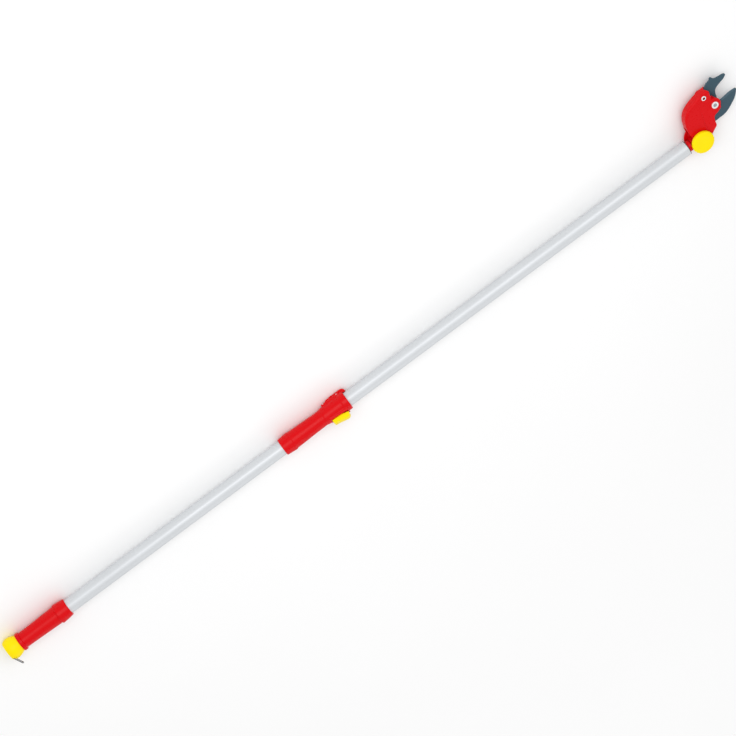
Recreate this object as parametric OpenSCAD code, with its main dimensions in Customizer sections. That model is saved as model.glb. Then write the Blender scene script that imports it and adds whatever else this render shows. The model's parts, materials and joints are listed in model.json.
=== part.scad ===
// Telescoping pole pruner: a bypass cutting head on a swivelling neck, an aluminium pole in two
// telescoping tubes, a sliding pull handle, a fixed lower grip and an end cap with a hanging bail.
// The pole lies along +X with its butt end face on the origin and its axis on the X axis.

/* [Pole] */
// Butt end face to the head end of the outer tube
pole_len = 1732; // [1300:1:2200]
// Outer tube, outside diameter
tube_d = 31.6; // [28:0.1:36]
// Outer tube wall
tube_wall = 1.2; // [1:0.1:1.6]
// Gap between the two tubes, radially
tube_gap = 0.7; // [0.5:0.1:1.2]
// Inner tube wall
inner_wall = 1.2; // [1:0.1:1.6]
// Depth that the outer tube sits in from the butt end face
tube_inset = 9; // [6:0.5:14]

/* [End cap and lower grip] */
// End cap, length along the pole
cap_len = 30.7; // [26:0.1:40]
// End cap, depth over the tube at its widest
cap_wall = 7.9; // [6:0.1:12]
// Lower grip, length along the pole
grip_len = 123.5; // [90:0.5:160]
// Lower grip, depth over the tube at its collar
collar_wall = 6; // [5:0.1:9]
// Hanging bail, wire diameter
bail_wire = 2; // [1.6:0.1:2.4]
// Hanging bail, hinge to the middle of its cross wire
bail_len = 23; // [18:0.5:26]
// Hanging bail, width between the middles of its arms
bail_w = 18; // [14:0.5:20]
// Rest angle of the bail, from pointing straight out sideways towards the head
bail_rest = 27; // [20:1:40]
// Turn of the bail's hinge line about the pole, from the swivel axis
bail_turn = 38; // [0:1:90]

/* [Pull handle] */
// Rear end of the pull handle from the butt end face
handle_x = 699; // [500:1:900]
// Pull handle, overall length
handle_len = 165; // [150:1:220]
// Pull handle, depth over the tube at its thickest grip
handle_wall = 3.7; // [3.4:0.1:7]
// Pull stroke of the handle along the pole
handle_stroke = 42; // [30:1:48]
// Release button, width
button_w = 18; // [12:0.5:20]
// Turn of the pull handle about the pole, from the swivel axis
handle_turn = 55; // [0:1:90]

/* [Neck and swivel] */
// Head end of the outer tube to the swivel axis
neck_reach = 31; // [30:0.5:36]
// Diameter of the bare neck
neck_d = 23.4; // [22:0.1:24]
// Thickness of the neck eye along the swivel axis
eye_t = 13.6; // [12:0.2:16]
// Hub cheek diameter
hub_d = 39; // [36:0.5:40]
// Height of a hub cheek above the head's plate
cheek_proud = 0.7; // [0.4:0.1:2]
// Round cover on the far side of the hub, diameter
hub_cap_d = 56; // [46:0.5:58]
// Swivel knob diameter
knob_d = 50; // [44:0.5:54]
// Swivel knob thickness
knob_t = 9.8; // [9:0.1:14]
// Clamp bolt diameter
clamp_bolt_d = 8; // [6:1:9]
// Turn of the head from straight, at rest
head_turn = 18; // [-60:1:45]

/* [Cutting head] */
// Blade pivot ahead of the swivel axis
pivot_x = 74; // [70:0.5:90]
// Blade pivot beside the swivel axis
pivot_y = 34; // [30:0.5:40]
// Blade locking screw ahead of the blade pivot (negative is behind)
lock_dx = -3.5; // [-5:0.5:0]
// Blade locking screw beside the blade pivot
lock_dy = 33; // [31:0.5:35]
// Outside thickness of the head at its plates
head_t = 22; // [21:0.2:27]
// Wall of the head shells
shell_wall = 2.2; // [1.8:0.1:2.6]
// Thickness of the hooked counter blade
counter_t = 3.6; // [3:0.1:3.8]
// Thickness of the cutting blade
cutting_t = 3.2; // [2.6:0.1:3.4]
// Pivot bolt, shank diameter
pivot_d = 8; // [7:0.5:9]
// Blade lever, pivot to pulley pin
lever_r = 27; // [25:0.5:29]
// Pull cord diameter
cord_d = 3; // [2:0.1:3.2]

/* [Hidden] */
$fn = 96;

RED = "#d9101c";
YELLOW = "#ffdf00";
SILVER = "#c9ccce";
STEEL = "#9aa0a4";
BLADE = "#465a66";
BLACK = "#26282a";
NYLON = "#e8e6df";
BRASS = "#c8a552";
CORD = "#3c3f45";

eps = 0.01;
run_fit = 0.05;
bush_fit = 0.5;
cord_play = 0.1;
big = 400;
hull_fn = 32;

tube_r = tube_d / 2;
tube_bore_r = tube_r - tube_wall;
inner_r = tube_bore_r - tube_gap;
inner_bore_r = inner_r - inner_wall;
hub_x = pole_len + neck_reach;
handle_end = handle_x + handle_len;

// the cord runs on the pole's axis and leaves it to pass beside the swivel axis, in the pulleys' plane
cord_wrap_r = 7.5;
cord_z = 3.2;
cord_r = cord_d / 2;
cord_hole_r = cord_r + 0.5;
cord_groove_r = cord_r + cord_play;

bail_r = bail_wire / 2;
bail_x = bail_r + 0.8;
bail_y = -tube_r - 1.2;
bail_stub = 3.6;
bail_bend = 3.5;
bail_slot_w = bail_wire + 0.6;

cap_r = tube_r + cap_wall;
cap_face_r = cap_r - 3.2;
plug_len = 26;
cord_stop_len = 17;
cord_tail_x = tube_inset + plug_len + handle_stroke + cord_stop_len + 5;
pin_x = 21;
pin_r = 1.5;
pin_bite = 2.8;

// pull handle stations, from its rear end
bush_len = 9;
bush_t = 1.6;
handle_r = tube_r + handle_wall;
drive_lug_x = handle_x + 105.5;
drive_lug_len = 8;
lug_w = 7;
lug_top = handle_r - 1.8;
housing_x = handle_x + 105;
button_x0 = handle_x + 115;
button_x1 = handle_x + 153;
rocker_x = handle_x + 136;
rocker_y = -tube_r - 2.2;
rocker_pin_r = 1.2;
jaw_x = rocker_x - 12;
jaw_len = 9;
jaw_w = 5;
jaw_y = tube_bore_r - 3.6;
carriage_x0 = handle_x + 90;
carriage_x1 = handle_x + 151;
housing_top = tube_r + 8.2;
ridge_top = tube_r + 12.4;
beak_len = 7.8;
spring_x = rocker_x + 10;

inner_tail_x = handle_end + 38;
inner_len = pole_len - inner_tail_x;
tail_bush_len = 34;
cone_len = 24;
spindle_r = 4;

neck_pin_x = [pole_len - 42, pole_len - 18];
neck_pin_y = 7;
neck_pin_r = 2;
neck_plug_len = 55;
neck_bore_r = 4;
eye_r = 17;
cheek_z0 = eye_t / 2 + 0.5;
cheek_z1 = head_t / 2 + cheek_proud;
washer_t = 1;
knob_z0 = cheek_z1 + washer_t;
knob_z1 = knob_z0 + knob_t;
knob_skin = 2.6;
knob_insert_r = 6;
hub_cap_t = 8.8;
bolt_head_t = 5.3;
roller_t = 4.8;
roller_r = 9;
roller_groove_r = cord_wrap_r - cord_r;

plate_out = head_t / 2;
plate_in = plate_out - shell_wall;
counter_z0 = -6.5;
counter_z1 = counter_z0 + counter_t;
cutting_z0 = counter_z1 + 0.2;
cutting_z1 = cutting_z0 + cutting_t;
pulley_t = 4.8;
pulley_z0 = cord_z - pulley_t / 2;
pulley_r = 7;
pulley_groove_r = 4.6;
lever_angle = 125;
pivot = [pivot_x, pivot_y];
lock = pivot + [lock_dx, lock_dy];
lever_end = pivot + lever_r * [cos(lever_angle), sin(lever_angle)];
anchor = [14, 34];
anchor_r = 2;
anchor_wrap_r = anchor_r + cord_groove_r;
lock_r = 2.5;
lock_boss_r = 4.6;
shell_screw_at = [[24, 66], [48, 68.5], [8, 50]];

// ---- curves ----

// One point of a Catmull-Rom stretch from b to c, at t from 0 to 1
function spline_at(a, b, c, d, t) =
    0.5 * (2 * b + (c - a) * t + (2 * a - 5 * b + 4 * c - d) * t * t
        + (3 * b - a - 3 * c + d) * t * t * t);

// A smooth run through the points, with a sharp corner left at each end
function run(p, n = 6) = concat(
    [for (i = [0 : len(p) - 2], k = [0 : n - 1])
        spline_at(p[max(i - 1, 0)], p[i], p[i + 1], p[min(i + 2, len(p) - 1)], k / n)],
    [p[len(p) - 1]]);

// Points of an arc about c
function arc(c, r, a0, a1, n = 16) =
    [for (k = [0 : n]) c + r * [cos(a0 + (a1 - a0) * k / n), sin(a0 + (a1 - a0) * k / n)]];

// Unit vector
function unit(v) = v / norm(v);

// A tube of a given radius along a path of 3-D points, closed at both ends
module sweep(path, r, sides = 10) {
    last = len(path) - 1;
    tangent = [for (i = [0 : last]) unit(path[min(i + 1, last)] - path[max(i - 1, 0)])];
    rings = [for (i = [0 : last])
        let (up = abs(tangent[i][2]) < 0.9 ? [0, 0, 1] : [1, 0, 0],
             side = unit(cross(tangent[i], up)), top = cross(side, tangent[i]))
        for (k = [0 : sides - 1])
            path[i] + r * (cos(360 * k / sides) * side + sin(360 * k / sides) * top)];
    walls = [for (i = [0 : last - 1], k = [0 : sides - 1])
        [i * sides + k, i * sides + (k + 1) % sides,
            (i + 1) * sides + (k + 1) % sides, (i + 1) * sides + k]];
    caps = [[for (k = [sides - 1 : -1 : 0]) k], [for (k = [0 : sides - 1]) last * sides + k]];
    polyhedron(points = rings, faces = concat(walls, caps), convexity = 8);
}

// ---- helpers ----

// A solid of revolution about the X axis: points are [distance along X, radius]
module turned_x(points) {
    rotate([90, 0, 90]) rotate_extrude() polygon([for (p = points) [p[1], p[0]]]);
}

// A rod along X
module rod_x(x0, x1, r) {
    translate([x0, 0, 0]) rotate([0, 90, 0]) cylinder(h = x1 - x0, r = r);
}

// A rod along Z
module rod_z(x, y, z0, z1, r) {
    translate([x, y, z0]) cylinder(h = z1 - z0, r = r);
}

// Way of the cord from the neck's bore to its place beside the swivel axis
module cord_throat() {
    low = -cord_wrap_r - cord_hole_r;
    translate([pole_len - 6, low, -cord_hole_r])
        cube([hub_x - pole_len + 6, cord_hole_r - low, cord_z + 2 * cord_hole_r]);
}

// Puts a piece drawn about the swivel axis in its place on the pole, turned to its rest turn
module on_head() {
    translate([hub_x, 0, 0]) rotate([0, 0, head_turn]) children();
}

// Puts a piece of the pull handle, drawn with its button towards -Y, at its turn about the pole
module on_handle() {
    rotate([-handle_turn, 0, 0]) children();
}

// Puts a piece of the end cap, drawn with its bail towards -Y, at its turn about the pole
module on_cap() {
    rotate([-bail_turn, 0, 0]) children();
}

// A flat plate between two heights
module plate(z0, z1) {
    translate([0, 0, z0]) linear_extrude(z1 - z0, convexity = 6) children();
}

// ---- tubes ----

module outer_tube() {
    color(SILVER) difference() {
        rod_x(tube_inset, pole_len - 1.2, tube_r);
        rod_x(tube_inset - 1, pole_len + 1, tube_bore_r);
        on_handle() drive_slot();
        on_cap() rod_z(pin_x, 0, -big, big, pin_r);
    }
}

// Slot through the outer tube's wall under the handle, as long as the lug, the jaw and their stroke
module drive_slot() {
    w = lug_w + 1;
    x0 = drive_lug_x - handle_stroke - 1;
    x1 = jaw_x + jaw_len / 2 + 2;
    translate([x0, -tube_r - 1, -w / 2]) cube([x1 - x0, tube_r - 5, w]);
}

module tube_collar() {
    color(BLACK) difference() {
        union() {
            rod_x(pole_len - 1.2, pole_len, tube_r);
            rod_x(pole_len - 28, pole_len - 1.2, tube_bore_r);
        }
        rod_x(pole_len - 29, pole_len + 1, inner_r + run_fit);
    }
}

module inner_tube() {
    color(SILVER) difference() {
        rod_x(inner_tail_x, pole_len, inner_r);
        rod_x(inner_tail_x - 1, pole_len + 1, inner_bore_r);
        neck_pin_holes();
    }
}

module inner_tail_bush() {
    color(NYLON) difference() {
        union() {
            rod_x(inner_tail_x - 3, inner_tail_x, tube_bore_r - run_fit);
            rod_x(inner_tail_x - eps, inner_tail_x + tail_bush_len, inner_bore_r);
        }
        rod_x(inner_tail_x - 4, inner_tail_x + tail_bush_len + 1, spindle_r + run_fit);
    }
}

// Tapered spindle of the twist lock: an eye seat, a cone and a stem screwed into the tail bush
module expander_cone() {
    x1 = inner_tail_x - 3;
    wide = tube_bore_r - 2.1;
    color(STEEL) difference() {
        union() {
            rod_x(x1 - 5, inner_tail_x + tail_bush_len - 6, spindle_r);
            turned_x([[x1 - cone_len, 0], [x1 - cone_len, wide], [x1 - 4, wide - 3], [x1 - 4, 6],
                [x1 - 0.2, 6], [x1 - 0.2, 0]]);
        }
        rod_x(x1 - cone_len - 1, x1 + 60, cord_hole_r);
    }
}

// Split sleeve that the cone spreads against the outer tube
module expander_sleeve() {
    x1 = inner_tail_x - 8;
    x0 = x1 - cone_len + 6;
    wide = tube_bore_r - 1.64;
    color(BLACK) difference() {
        rod_x(x0, x1, tube_bore_r - run_fit);
        turned_x([[x0 - 1, 0], [x0 - 1, wide], [x1 + 1, wide - 2.85], [x1 + 1, 0]]);
        for (a = [90 : 120 : 330])
            rotate([a, 0, 0]) translate([x0 - 1, -0.8, 8]) cube([cone_len * 0.6, 1.6, 12]);
    }
}

// ---- end cap, bail and lower grip ----

// Shape of the bail at rest, drawn from its hinge line
module bail_shape() {
    r = bail_r;
    bend = bail_bend;
    half = bail_w / 2;
    for (s = [-1, 1]) {
        translate([0, 0, s * half]) rotate([0, 90, 0]) cylinder(h = bail_len - bend, r = r);
        rod_z(0, 0, s > 0 ? half - bail_stub : -half, s > 0 ? half : bail_stub - half, r);
        translate([0, 0, s * half]) sphere(r = r);
        translate([bail_len - bend, 0, s * (half - bend)]) rotate([90, 0, 0])
            rotate([0, 0, s > 0 ? 0 : -90]) rotate_extrude(angle = 90) translate([bend, 0]) circle(r = r);
    }
    rod_z(bail_len, 0, -half + bend, half - bend, r);
}

module end_cap() {
    r = cap_r;
    color(YELLOW) on_cap() difference() {
        turned_x([[0, 0], [0, cap_face_r - 1], [0.4, cap_face_r - 0.3], [1.2, cap_face_r],
            for (a = [10 : 10 : 90]) [1.2 + 9.8 * a / 90, cap_face_r + (r - cap_face_r) * sin(a)],
            [12.6, r], [15, r - 0.2], [18.5, r - 0.9], [22, r - 2.1], [26, r - 3.9],
            [cap_len, tube_r + 2.2], [cap_len, 0]]);
        rod_x(tube_inset, cap_len + 1, tube_r);
        bail_grooves();
        rod_z(pin_x, 0, -big, tube_r + pin_bite, pin_r);
    }
}

// Grooves that the bail folds into, its two side slots and the holes of its hinge ends
module bail_grooves() {
    half = bail_w / 2;
    w = bail_slot_w;
    for (s = [-1, 1])
        translate([0, 0, s * half - w / 2]) {
            translate([-1, bail_y - 1, 0]) cube([1 + bail_x + bail_r + 0.2, bail_len + 2.2, w]);
            translate([-1, -big, 0]) cube([10.2, big + bail_y + 1.6, w]);
        }
    translate([-1, bail_y + bail_len - bail_bend - bail_r, -half])
        cube([1 + bail_x + bail_r + 0.2, bail_bend + 2 * bail_r + 0.5, bail_w]);
    rod_z(bail_x, bail_y, -half, half, bail_r + run_fit);
}

module end_plug() {
    color(BLACK) on_cap() difference() {
        rod_x(tube_inset, tube_inset + plug_len, tube_bore_r);
        rod_x(tube_inset + 4, tube_inset + plug_len + 1, tube_bore_r - 3);
        rod_z(pin_x, 0, -big, big, pin_r);
    }
}

module cap_pin() {
    color(STEEL) on_cap() rod_z(pin_x, 0, -tube_r - 2 * pin_bite, tube_r + pin_bite, pin_r);
}

module wire_bail() {
    color(STEEL) on_cap() translate([bail_x, bail_y, 0])
        rotate([0, 0, bail_rest - 90]) bail_shape();
}

module lower_grip() {
    x0 = cap_len;
    x1 = x0 + grip_len;
    cr = tube_r + collar_wall;
    r = tube_r + 1.6;
    color(RED) difference() {
        turned_x(concat(
            [[x0, 0], [x0, r + 2.2], [x0 + 0.8, r + 2.9], [x0 + 7.2, r + 2.9], [x0 + 8, r + 2.2]],
            run([[x0 + 8.6, r], [x0 + 30, r + 0.3], [x0 + 65, r + 1.2], [x1 - 28, r + 2.1]]),
            run([[x1 - 27.6, cr - 0.9], [x1 - 26, cr], [x1 - 19, cr - 0.4], [x1 - 8, cr - 1.6],
                [x1 - 1.2, cr - 2.5], [x1, cr - 3.4]], 4),
            [[x1, 0]]));
        rod_x(x0 - 1, x1 + 1, tube_r);
    }
}

// ---- pull handle ----

// Outside of the whole pull handle before it is split into its two shells
module handle_body() {
    r = handle_r;
    x = handle_x;
    turned_x(concat(
        [[x, 0], [x, r - 2.1], [x + 1.4, r - 0.7]],
        run([[x + 3, r - 0.5], [x + 12, r + 0.3], [x + 22, r + 1.3], [x + 24.4, r + 0.7]], 4),
        run([[x + 25, r], [x + 45, r - 0.5], [x + 75, r - 1.5], [x + 103, r - 2.05]]),
        [[housing_x + 2, r - 0.2], [handle_end - 14, r - 0.2], [handle_end - 14, 0]]));
    // front flange
    turned_x([[handle_end - 15, 0], [handle_end - 15, r - 0.3], [handle_end - 9.5, r + 1.3],
        [handle_end - 1, r + 1.3], [handle_end, r + 0.3], [handle_end, 0]]);
    housing();
}

// Housing that widens the handle ahead of the grip, with its ridge and beak on top
module housing() {
    x0 = housing_x + 4;
    x1 = handle_end - 1;
    hull() {
        for (z = [-9, 9])
            for (x = [x0 + 4, x1 - 5])
                translate([x, housing_top - 5, z]) rotate([90, 0, 0])
                    cylinder(h = housing_top - 5 + 16, r = 5, $fn = hull_fn);
        for (x = [x0 + 6, x1 - 6])
            translate([x, housing_top - 5, 0]) scale([1, 1, 1.6]) sphere(r = 5, $fn = hull_fn);
    }
    // side cheeks around the button, rising towards its front end
    hull()
        for (z = [-button_w / 2 - 2, button_w / 2 + 2]) {
            translate([button_x0 - 3, -10, z]) rotate([90, 0, 0])
                cylinder(h = tube_r - 7.2, r = 2.2, $fn = hull_fn);
            translate([button_x1 + 3, -10, z]) rotate([90, 0, 0])
                cylinder(h = tube_r - 4, r = 2.2, $fn = hull_fn);
        }
    // ridge and beak
    plate(-5.5, 5.5) polygon(concat(
        run([[x0 + 16.5, housing_top - 2], [x0 + 17.5, ridge_top - 2.2], [x0 + 20, ridge_top - 0.8],
            [x0 + 28, ridge_top - 0.1], [x1 - 4, ridge_top]]),
        run([[x1 + 2, ridge_top - 0.3], [handle_end + 4, ridge_top - 1.5],
            [handle_end + beak_len - 1.6, tube_r + 6.4], [handle_end + beak_len, tube_r + 2.6],
            [handle_end + beak_len - 1.5, tube_r + bush_fit]], 4),
        [[x1 - 5, tube_r + bush_fit], [x0 + 16.5, tube_r + bush_fit]]));
}

// Everything taken out of the handle: the tube's way, bush seats, lug pocket, button well, screws
module handle_space() {
    rod_x(handle_x - 1, handle_end + beak_len + 1, tube_r + bush_fit);
    rod_x(handle_x + 3, handle_x + 3 + bush_len, tube_r + bush_t);
    rod_x(handle_end - 4 - bush_len, handle_end - 4, tube_r + bush_t);
    translate([drive_lug_x, -lug_top, -lug_w / 2]) cube([drive_lug_len, lug_top, lug_w]);
    translate([button_x0 - 0.4, -big, -button_w / 2 - 0.4])
        cube([button_x1 - button_x0 + 1.3, big, button_w + 0.8]);
    rod_z(rocker_x, rocker_y, -button_w / 2 - 3.5, button_w / 2 + 3.5, rocker_pin_r);
}

// Pillars beside the tube that take the handle's screws
module handle_screw_cuts() {
    for (p = handle_screws_at()) {
        rod_z(p[0], p[1], -9, 12, 1.5);
        rod_z(p[0], p[1], -big, -9, 2.6);
    }
}

function handle_screws_at() = [
    [housing_x + 14, housing_top - 4.6], [handle_end - 12, housing_top - 4.6]];

module handle_upper_shell() {
    color(RED) on_handle() difference() {
        handle_body();
        handle_space();
        handle_screw_cuts();
        translate([handle_x - 50, -big, -big]) cube([2 * big, 2 * big, big]);
    }
}

module handle_lower_shell() {
    color(RED) on_handle() difference() {
        handle_body();
        handle_space();
        handle_screw_cuts();
        translate([handle_x - 50, -big, 0]) cube([2 * big, 2 * big, big]);
    }
}

module handle_screws() {
    color(STEEL) on_handle() for (p = handle_screws_at()) difference() {
        union() {
            rod_z(p[0], p[1], -9, 11, 1.5);
            rod_z(p[0], p[1], -11.5, -9, 2.5);
        }
        rod_z(p[0], p[1], -12, -10, 1.4, $fn = 6);
    }
}

module handle_bushes() {
    color(NYLON) on_handle() for (x = [handle_x + 3, handle_end - 4 - bush_len]) difference() {
        rod_x(x, x + bush_len, tube_r + bush_t);
        rod_x(x - 1, x + bush_len + 1, tube_r + run_fit);
    }
}

module cord_carriage() {
    jaw_room = jaw_len / 2 + 2;
    jaw_swing = 2.5;
    color(NYLON) on_handle() difference() {
        union() {
            rod_x(carriage_x0, carriage_x1, tube_bore_r - 0.1);
            translate([drive_lug_x, -lug_top, -lug_w / 2]) cube([drive_lug_len, lug_top - 8, lug_w]);
        }
        rod_x(carriage_x0 - 1, carriage_x1 + 1, cord_hole_r);
        translate([jaw_x - jaw_room - jaw_swing, -big, -lug_w / 2])
            cube([2 * jaw_room + jaw_swing, big, lug_w]);
    }
}

module release_button() {
    w = button_w;
    r = tube_r;
    color(YELLOW) on_handle() difference() {
        union() {
            plate(-w / 2, w / 2) polygon(concat(
                [[button_x0, -r - 2.8]],
                run([[button_x0, -r - 10], [button_x0 + 1, -r - 11.8], [button_x0 + 12, -r - 13.7],
                    [button_x0 + 24, -r - 16.2], [button_x0 + 29, -r - 17.1],
                    [button_x0 + 33, -r - 16.8], [button_x1 - 1, -r - 13.2],
                    [button_x1, -r - 9.8]], 4),
                [[button_x1, -r - 7.8], [rocker_x + 4, -r - 4.2], [rocker_x + 2, -r - 2.8]]));
            translate([jaw_x - 2.5, -r - 3.2, -2.5]) cube([5, r + 3.2 - jaw_y, 5]);
        }
        rod_z(rocker_x, rocker_y, -w, w, rocker_pin_r + run_fit);
        jaw_screw_rod();
        translate([spring_x, -r - 3.2, 0]) rotate([90, 0, 0]) cylinder(h = 7, r = 3.4);
    }
}

module button_pin() {
    reach = button_w / 2 + 3.5;
    color(STEEL) on_handle() rod_z(rocker_x, rocker_y, -reach, reach, rocker_pin_r);
}

// Compression spring between the tube side of the button and the bottom of its well
module button_spring() {
    turns = 3.5;
    n = round(turns * 16);
    y0 = -tube_r - 1.1;
    y1 = -tube_r - 9.4;
    color(STEEL) on_handle() sweep([for (i = [0 : n])
        [spring_x + 2.4 * cos(360 * turns * i / n), y0 + (y1 - y0) * i / n,
            2.4 * sin(360 * turns * i / n)]], 0.4, 6);
}

module clamp_jaw() {
    color(BRASS) on_handle() difference() {
        translate([jaw_x - jaw_len / 2, -jaw_y, -jaw_w / 2])
            cube([jaw_len, jaw_y - cord_r - 0.05, jaw_w]);
        jaw_screw_rod();
    }
}

// Screw that holds the jaw on the button's stem
module jaw_screw_rod() {
    translate([jaw_x, 4 - jaw_y, 0]) rotate([90, 0, 0]) cylinder(h = 12, r = 1.2);
}

module jaw_screw() {
    color(STEEL) on_handle() jaw_screw_rod();
}

// ---- neck and swivel ----

module neck_pin_holes() {
    for (x = neck_pin_x) rod_z(x, neck_pin_y, -big, big, neck_pin_r);
}

module neck() {
    r = neck_d / 2;
    color(RED) difference() {
        union() {
            rod_x(pole_len - neck_plug_len, pole_len, inner_bore_r);
            turned_x([[pole_len - eps, 0], [pole_len - eps, r + 0.6], [pole_len + 1.4, r + 0.6],
                [pole_len + 2.2, r], [hub_x - hub_d / 2 - 3, r], [hub_x - hub_d / 2 - 1, eye_t / 2],
                [hub_x - 10, eye_t / 2], [hub_x - 10, 0]]);
            rod_z(hub_x, 0, -eye_t / 2, eye_t / 2, eye_r);
            translate([hub_x - hub_d / 2 - 1, -r + 1, -eye_t / 2])
                cube([hub_d / 2, 2 * r - 2, eye_t]);
        }
        rod_z(hub_x, 0, -big, big, clamp_bolt_d / 2 + 0.1);
        rod_x(pole_len - neck_plug_len - 1, hub_x - hub_d / 2 - 4, neck_bore_r);
        cord_throat();
        rod_z(hub_x, 0, cord_z - roller_t / 2 - 0.2, cord_z + roller_t / 2 + 0.2, roller_r + 0.5);
        translate([hub_x - roller_r, -eye_r - 1, cord_z - roller_t / 2 - 0.2])
            cube([roller_r + eye_r + 1, 2 * eye_r + 2, roller_t + 0.4]);
        neck_pin_holes();
    }
}

module neck_pins() {
    edge = neck_pin_y + neck_pin_r;
    reach = sqrt(inner_r * inner_r - edge * edge);
    color(STEEL) for (x = neck_pin_x) rod_z(x, neck_pin_y, -reach, reach, neck_pin_r);
}

// Grooved wheel about the Z axis
module grooved_wheel(t, r, groove_r, bore_r) {
    half = t / 2;
    rotate_extrude() polygon(concat(
        [[bore_r, -half], [r, -half], [r, -half + 0.5]],
        arc([groove_r + cord_r, 0], cord_groove_r, 270, 90, 12),
        [[r, half - 0.5], [r, half], [bore_r, half]]));
}

module swivel_roller() {
    color(STEEL) translate([hub_x, 0, cord_z])
        grooved_wheel(roller_t, roller_r, roller_groove_r, clamp_bolt_d / 2 + run_fit);
}

module friction_washers() {
    color(BLACK) for (z = [eye_t / 2, -eye_t / 2 - 0.5]) difference() {
        rod_z(hub_x, 0, z, z + 0.5, eye_r - 0.5);
        rod_z(hub_x, 0, z - 1, z + 2, clamp_bolt_d / 2 + 1);
    }
}

module clamp_bolt() {
    head_z = -cheek_z1;
    color(STEEL) {
        rod_z(hub_x, 0, head_z, knob_z1 - knob_skin, clamp_bolt_d / 2);
        rod_z(hub_x, 0, head_z - bolt_head_t, head_z, 6.5, $fn = 6);
    }
}

module hub_cap() {
    r = hub_cap_d / 2;
    z1 = -cheek_z1;
    z0 = z1 - hub_cap_t;
    color(RED) difference() {
        translate([hub_x, 0, 0]) rotate_extrude() polygon(concat(
            [[0, z0]], run([[r - 12, z0 + 0.4], [r - 6, z0 + 1.3], [r - 1.6, z0 + 3.6], [r, z1 - 2.6]], 5),
            run([[r - 0.6, z1 - 1.5], [r - 3, z1 - 1.1], [hub_d / 2 + 1, z1 - 0.8]], 3),
            [[hub_d / 2, z1], [0, z1]]));
        rod_z(hub_x, 0, z1 - bolt_head_t - 0.3, 0, 7.6);
    }
}

module clamp_knob() {
    r = knob_d / 2;
    lobes = 24;
    color(YELLOW) translate([hub_x, 0, 0]) difference() {
        rotate_extrude() polygon(concat(
            [[0, knob_z0], [r - 4, knob_z0], [r - 1.5, knob_z0 + 0.8], [r - 0.3, knob_z0 + 2.4]],
            run([[r, knob_z0 + 4], [r, knob_z1 - 4], [r - 1.2, knob_z1 - 1.8], [r - 4, knob_z1 - 0.6],
                [r - 9, knob_z1]], 4),
            [[0, knob_z1]]));
        for (i = [0 : lobes - 1]) rotate([0, 0, 360 * (i + 0.5) / lobes])
            translate([r + 1.5, 0, knob_z0 - 1]) cylinder(h = knob_t - 2, r = 2.2);
        translate([0, 0, knob_z0 - 1]) cylinder(h = knob_t - knob_skin + 1, r = knob_insert_r);
    }
}

module knob_insert() {
    color(BRASS) difference() {
        rod_z(hub_x, 0, knob_z0, knob_z1 - knob_skin, knob_insert_r);
        rod_z(hub_x, 0, knob_z0 - 1, knob_z1, clamp_bolt_d / 2 + run_fit);
    }
}

module knob_washer() {
    color(STEEL) difference() {
        rod_z(hub_x, 0, cheek_z1, knob_z0, 9.5);
        rod_z(hub_x, 0, cheek_z1 - 1, knob_z0 + 1, clamp_bolt_d / 2 + 0.2);
    }
}

// ---- cutting head ----

// Outline of the head's side plates, drawn from the swivel axis
function shell_outline() = concat(
    run([[-7, 17.5], [-6.5, 27], [-4.5, 37], [0, 47], [6.5, 58.5], [16, 68.5], [26, 73.8],
        [38, 76.4], [53, 76.8], lock + [-3, 9], lock + [9, 7.4], lock + [16, 4.6]]),
    run([lock + [17.2, 1], lock + [15.6, -4], lock + [11.5, -14], pivot + [5.5, 13.4]]),
    arc(pivot, 14.6, 62, -58),
    run([pivot + [4, -17.5], pivot + [-7, -19.4], pivot + [-16, -19.2], pivot + [-21.5, -23.5],
        pivot + [-26, -31], pivot + [-30, -39], [36, -7.6], [26, -10.4], [15, -13]]));

// Where the two head plates are open between them: the mouth side
module mouth_side() {
    polygon([pivot + [-46, -80], pivot + [-46, -34], pivot + [-31, -12], pivot + [-16, 12],
        lock + [5, -8], lock + [5, 14], lock + [60, 14], pivot + [60, -80]]);
}

module head_plate() {
    polygon(shell_outline());
    circle(r = hub_d / 2);
}

module head_rim() {
    difference() {
        polygon(shell_outline());
        offset(delta = -shell_wall) polygon(shell_outline());
        mouth_side();
        circle(r = 43);
    }
}

// One head shell, drawn as the front one: cheek, plate, rim and bosses
module head_shell_solid() {
    plate(plate_in, plate_out - 1) head_plate();
    plate(plate_out - 1 - eps, plate_out) offset(delta = -1) head_plate();
    plate(0, plate_in + eps) head_rim();
    translate([0, 0, cheek_z0]) cylinder(h = cheek_z1 - cheek_z0, r = hub_d / 2);
    plate(plate_in, cheek_z1) intersection() {
        polygon(shell_outline());
        circle(r = hub_d / 2 + 7);
    }
    for (p = shell_screw_at) translate([p[0], p[1], 0]) cylinder(h = plate_in + eps, r = 3.6);
}

module head_front_shell() {
    color(RED) on_head() difference() {
        union() {
            head_shell_solid();
            translate([pivot[0], pivot[1], plate_in]) cylinder(h = 3.4, r = 11.5);
            translate([lock[0], lock[1], plate_in]) cylinder(h = 2.9, r = 7.5);
        }
        rod_z(0, 0, -1, big, clamp_bolt_d / 2 + 0.1);
        rod_z(pivot[0], pivot[1], -1, big, pivot_d / 2 + 0.1);
        rod_z(lock[0], lock[1], -1, big, lock_r + 0.1);
        rod_z(anchor[0], anchor[1], -1, plate_in + 1, anchor_r);
        for (p = shell_screw_at) rod_z(p[0], p[1], -1, plate_in - 1, 1.3);
    }
}

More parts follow.
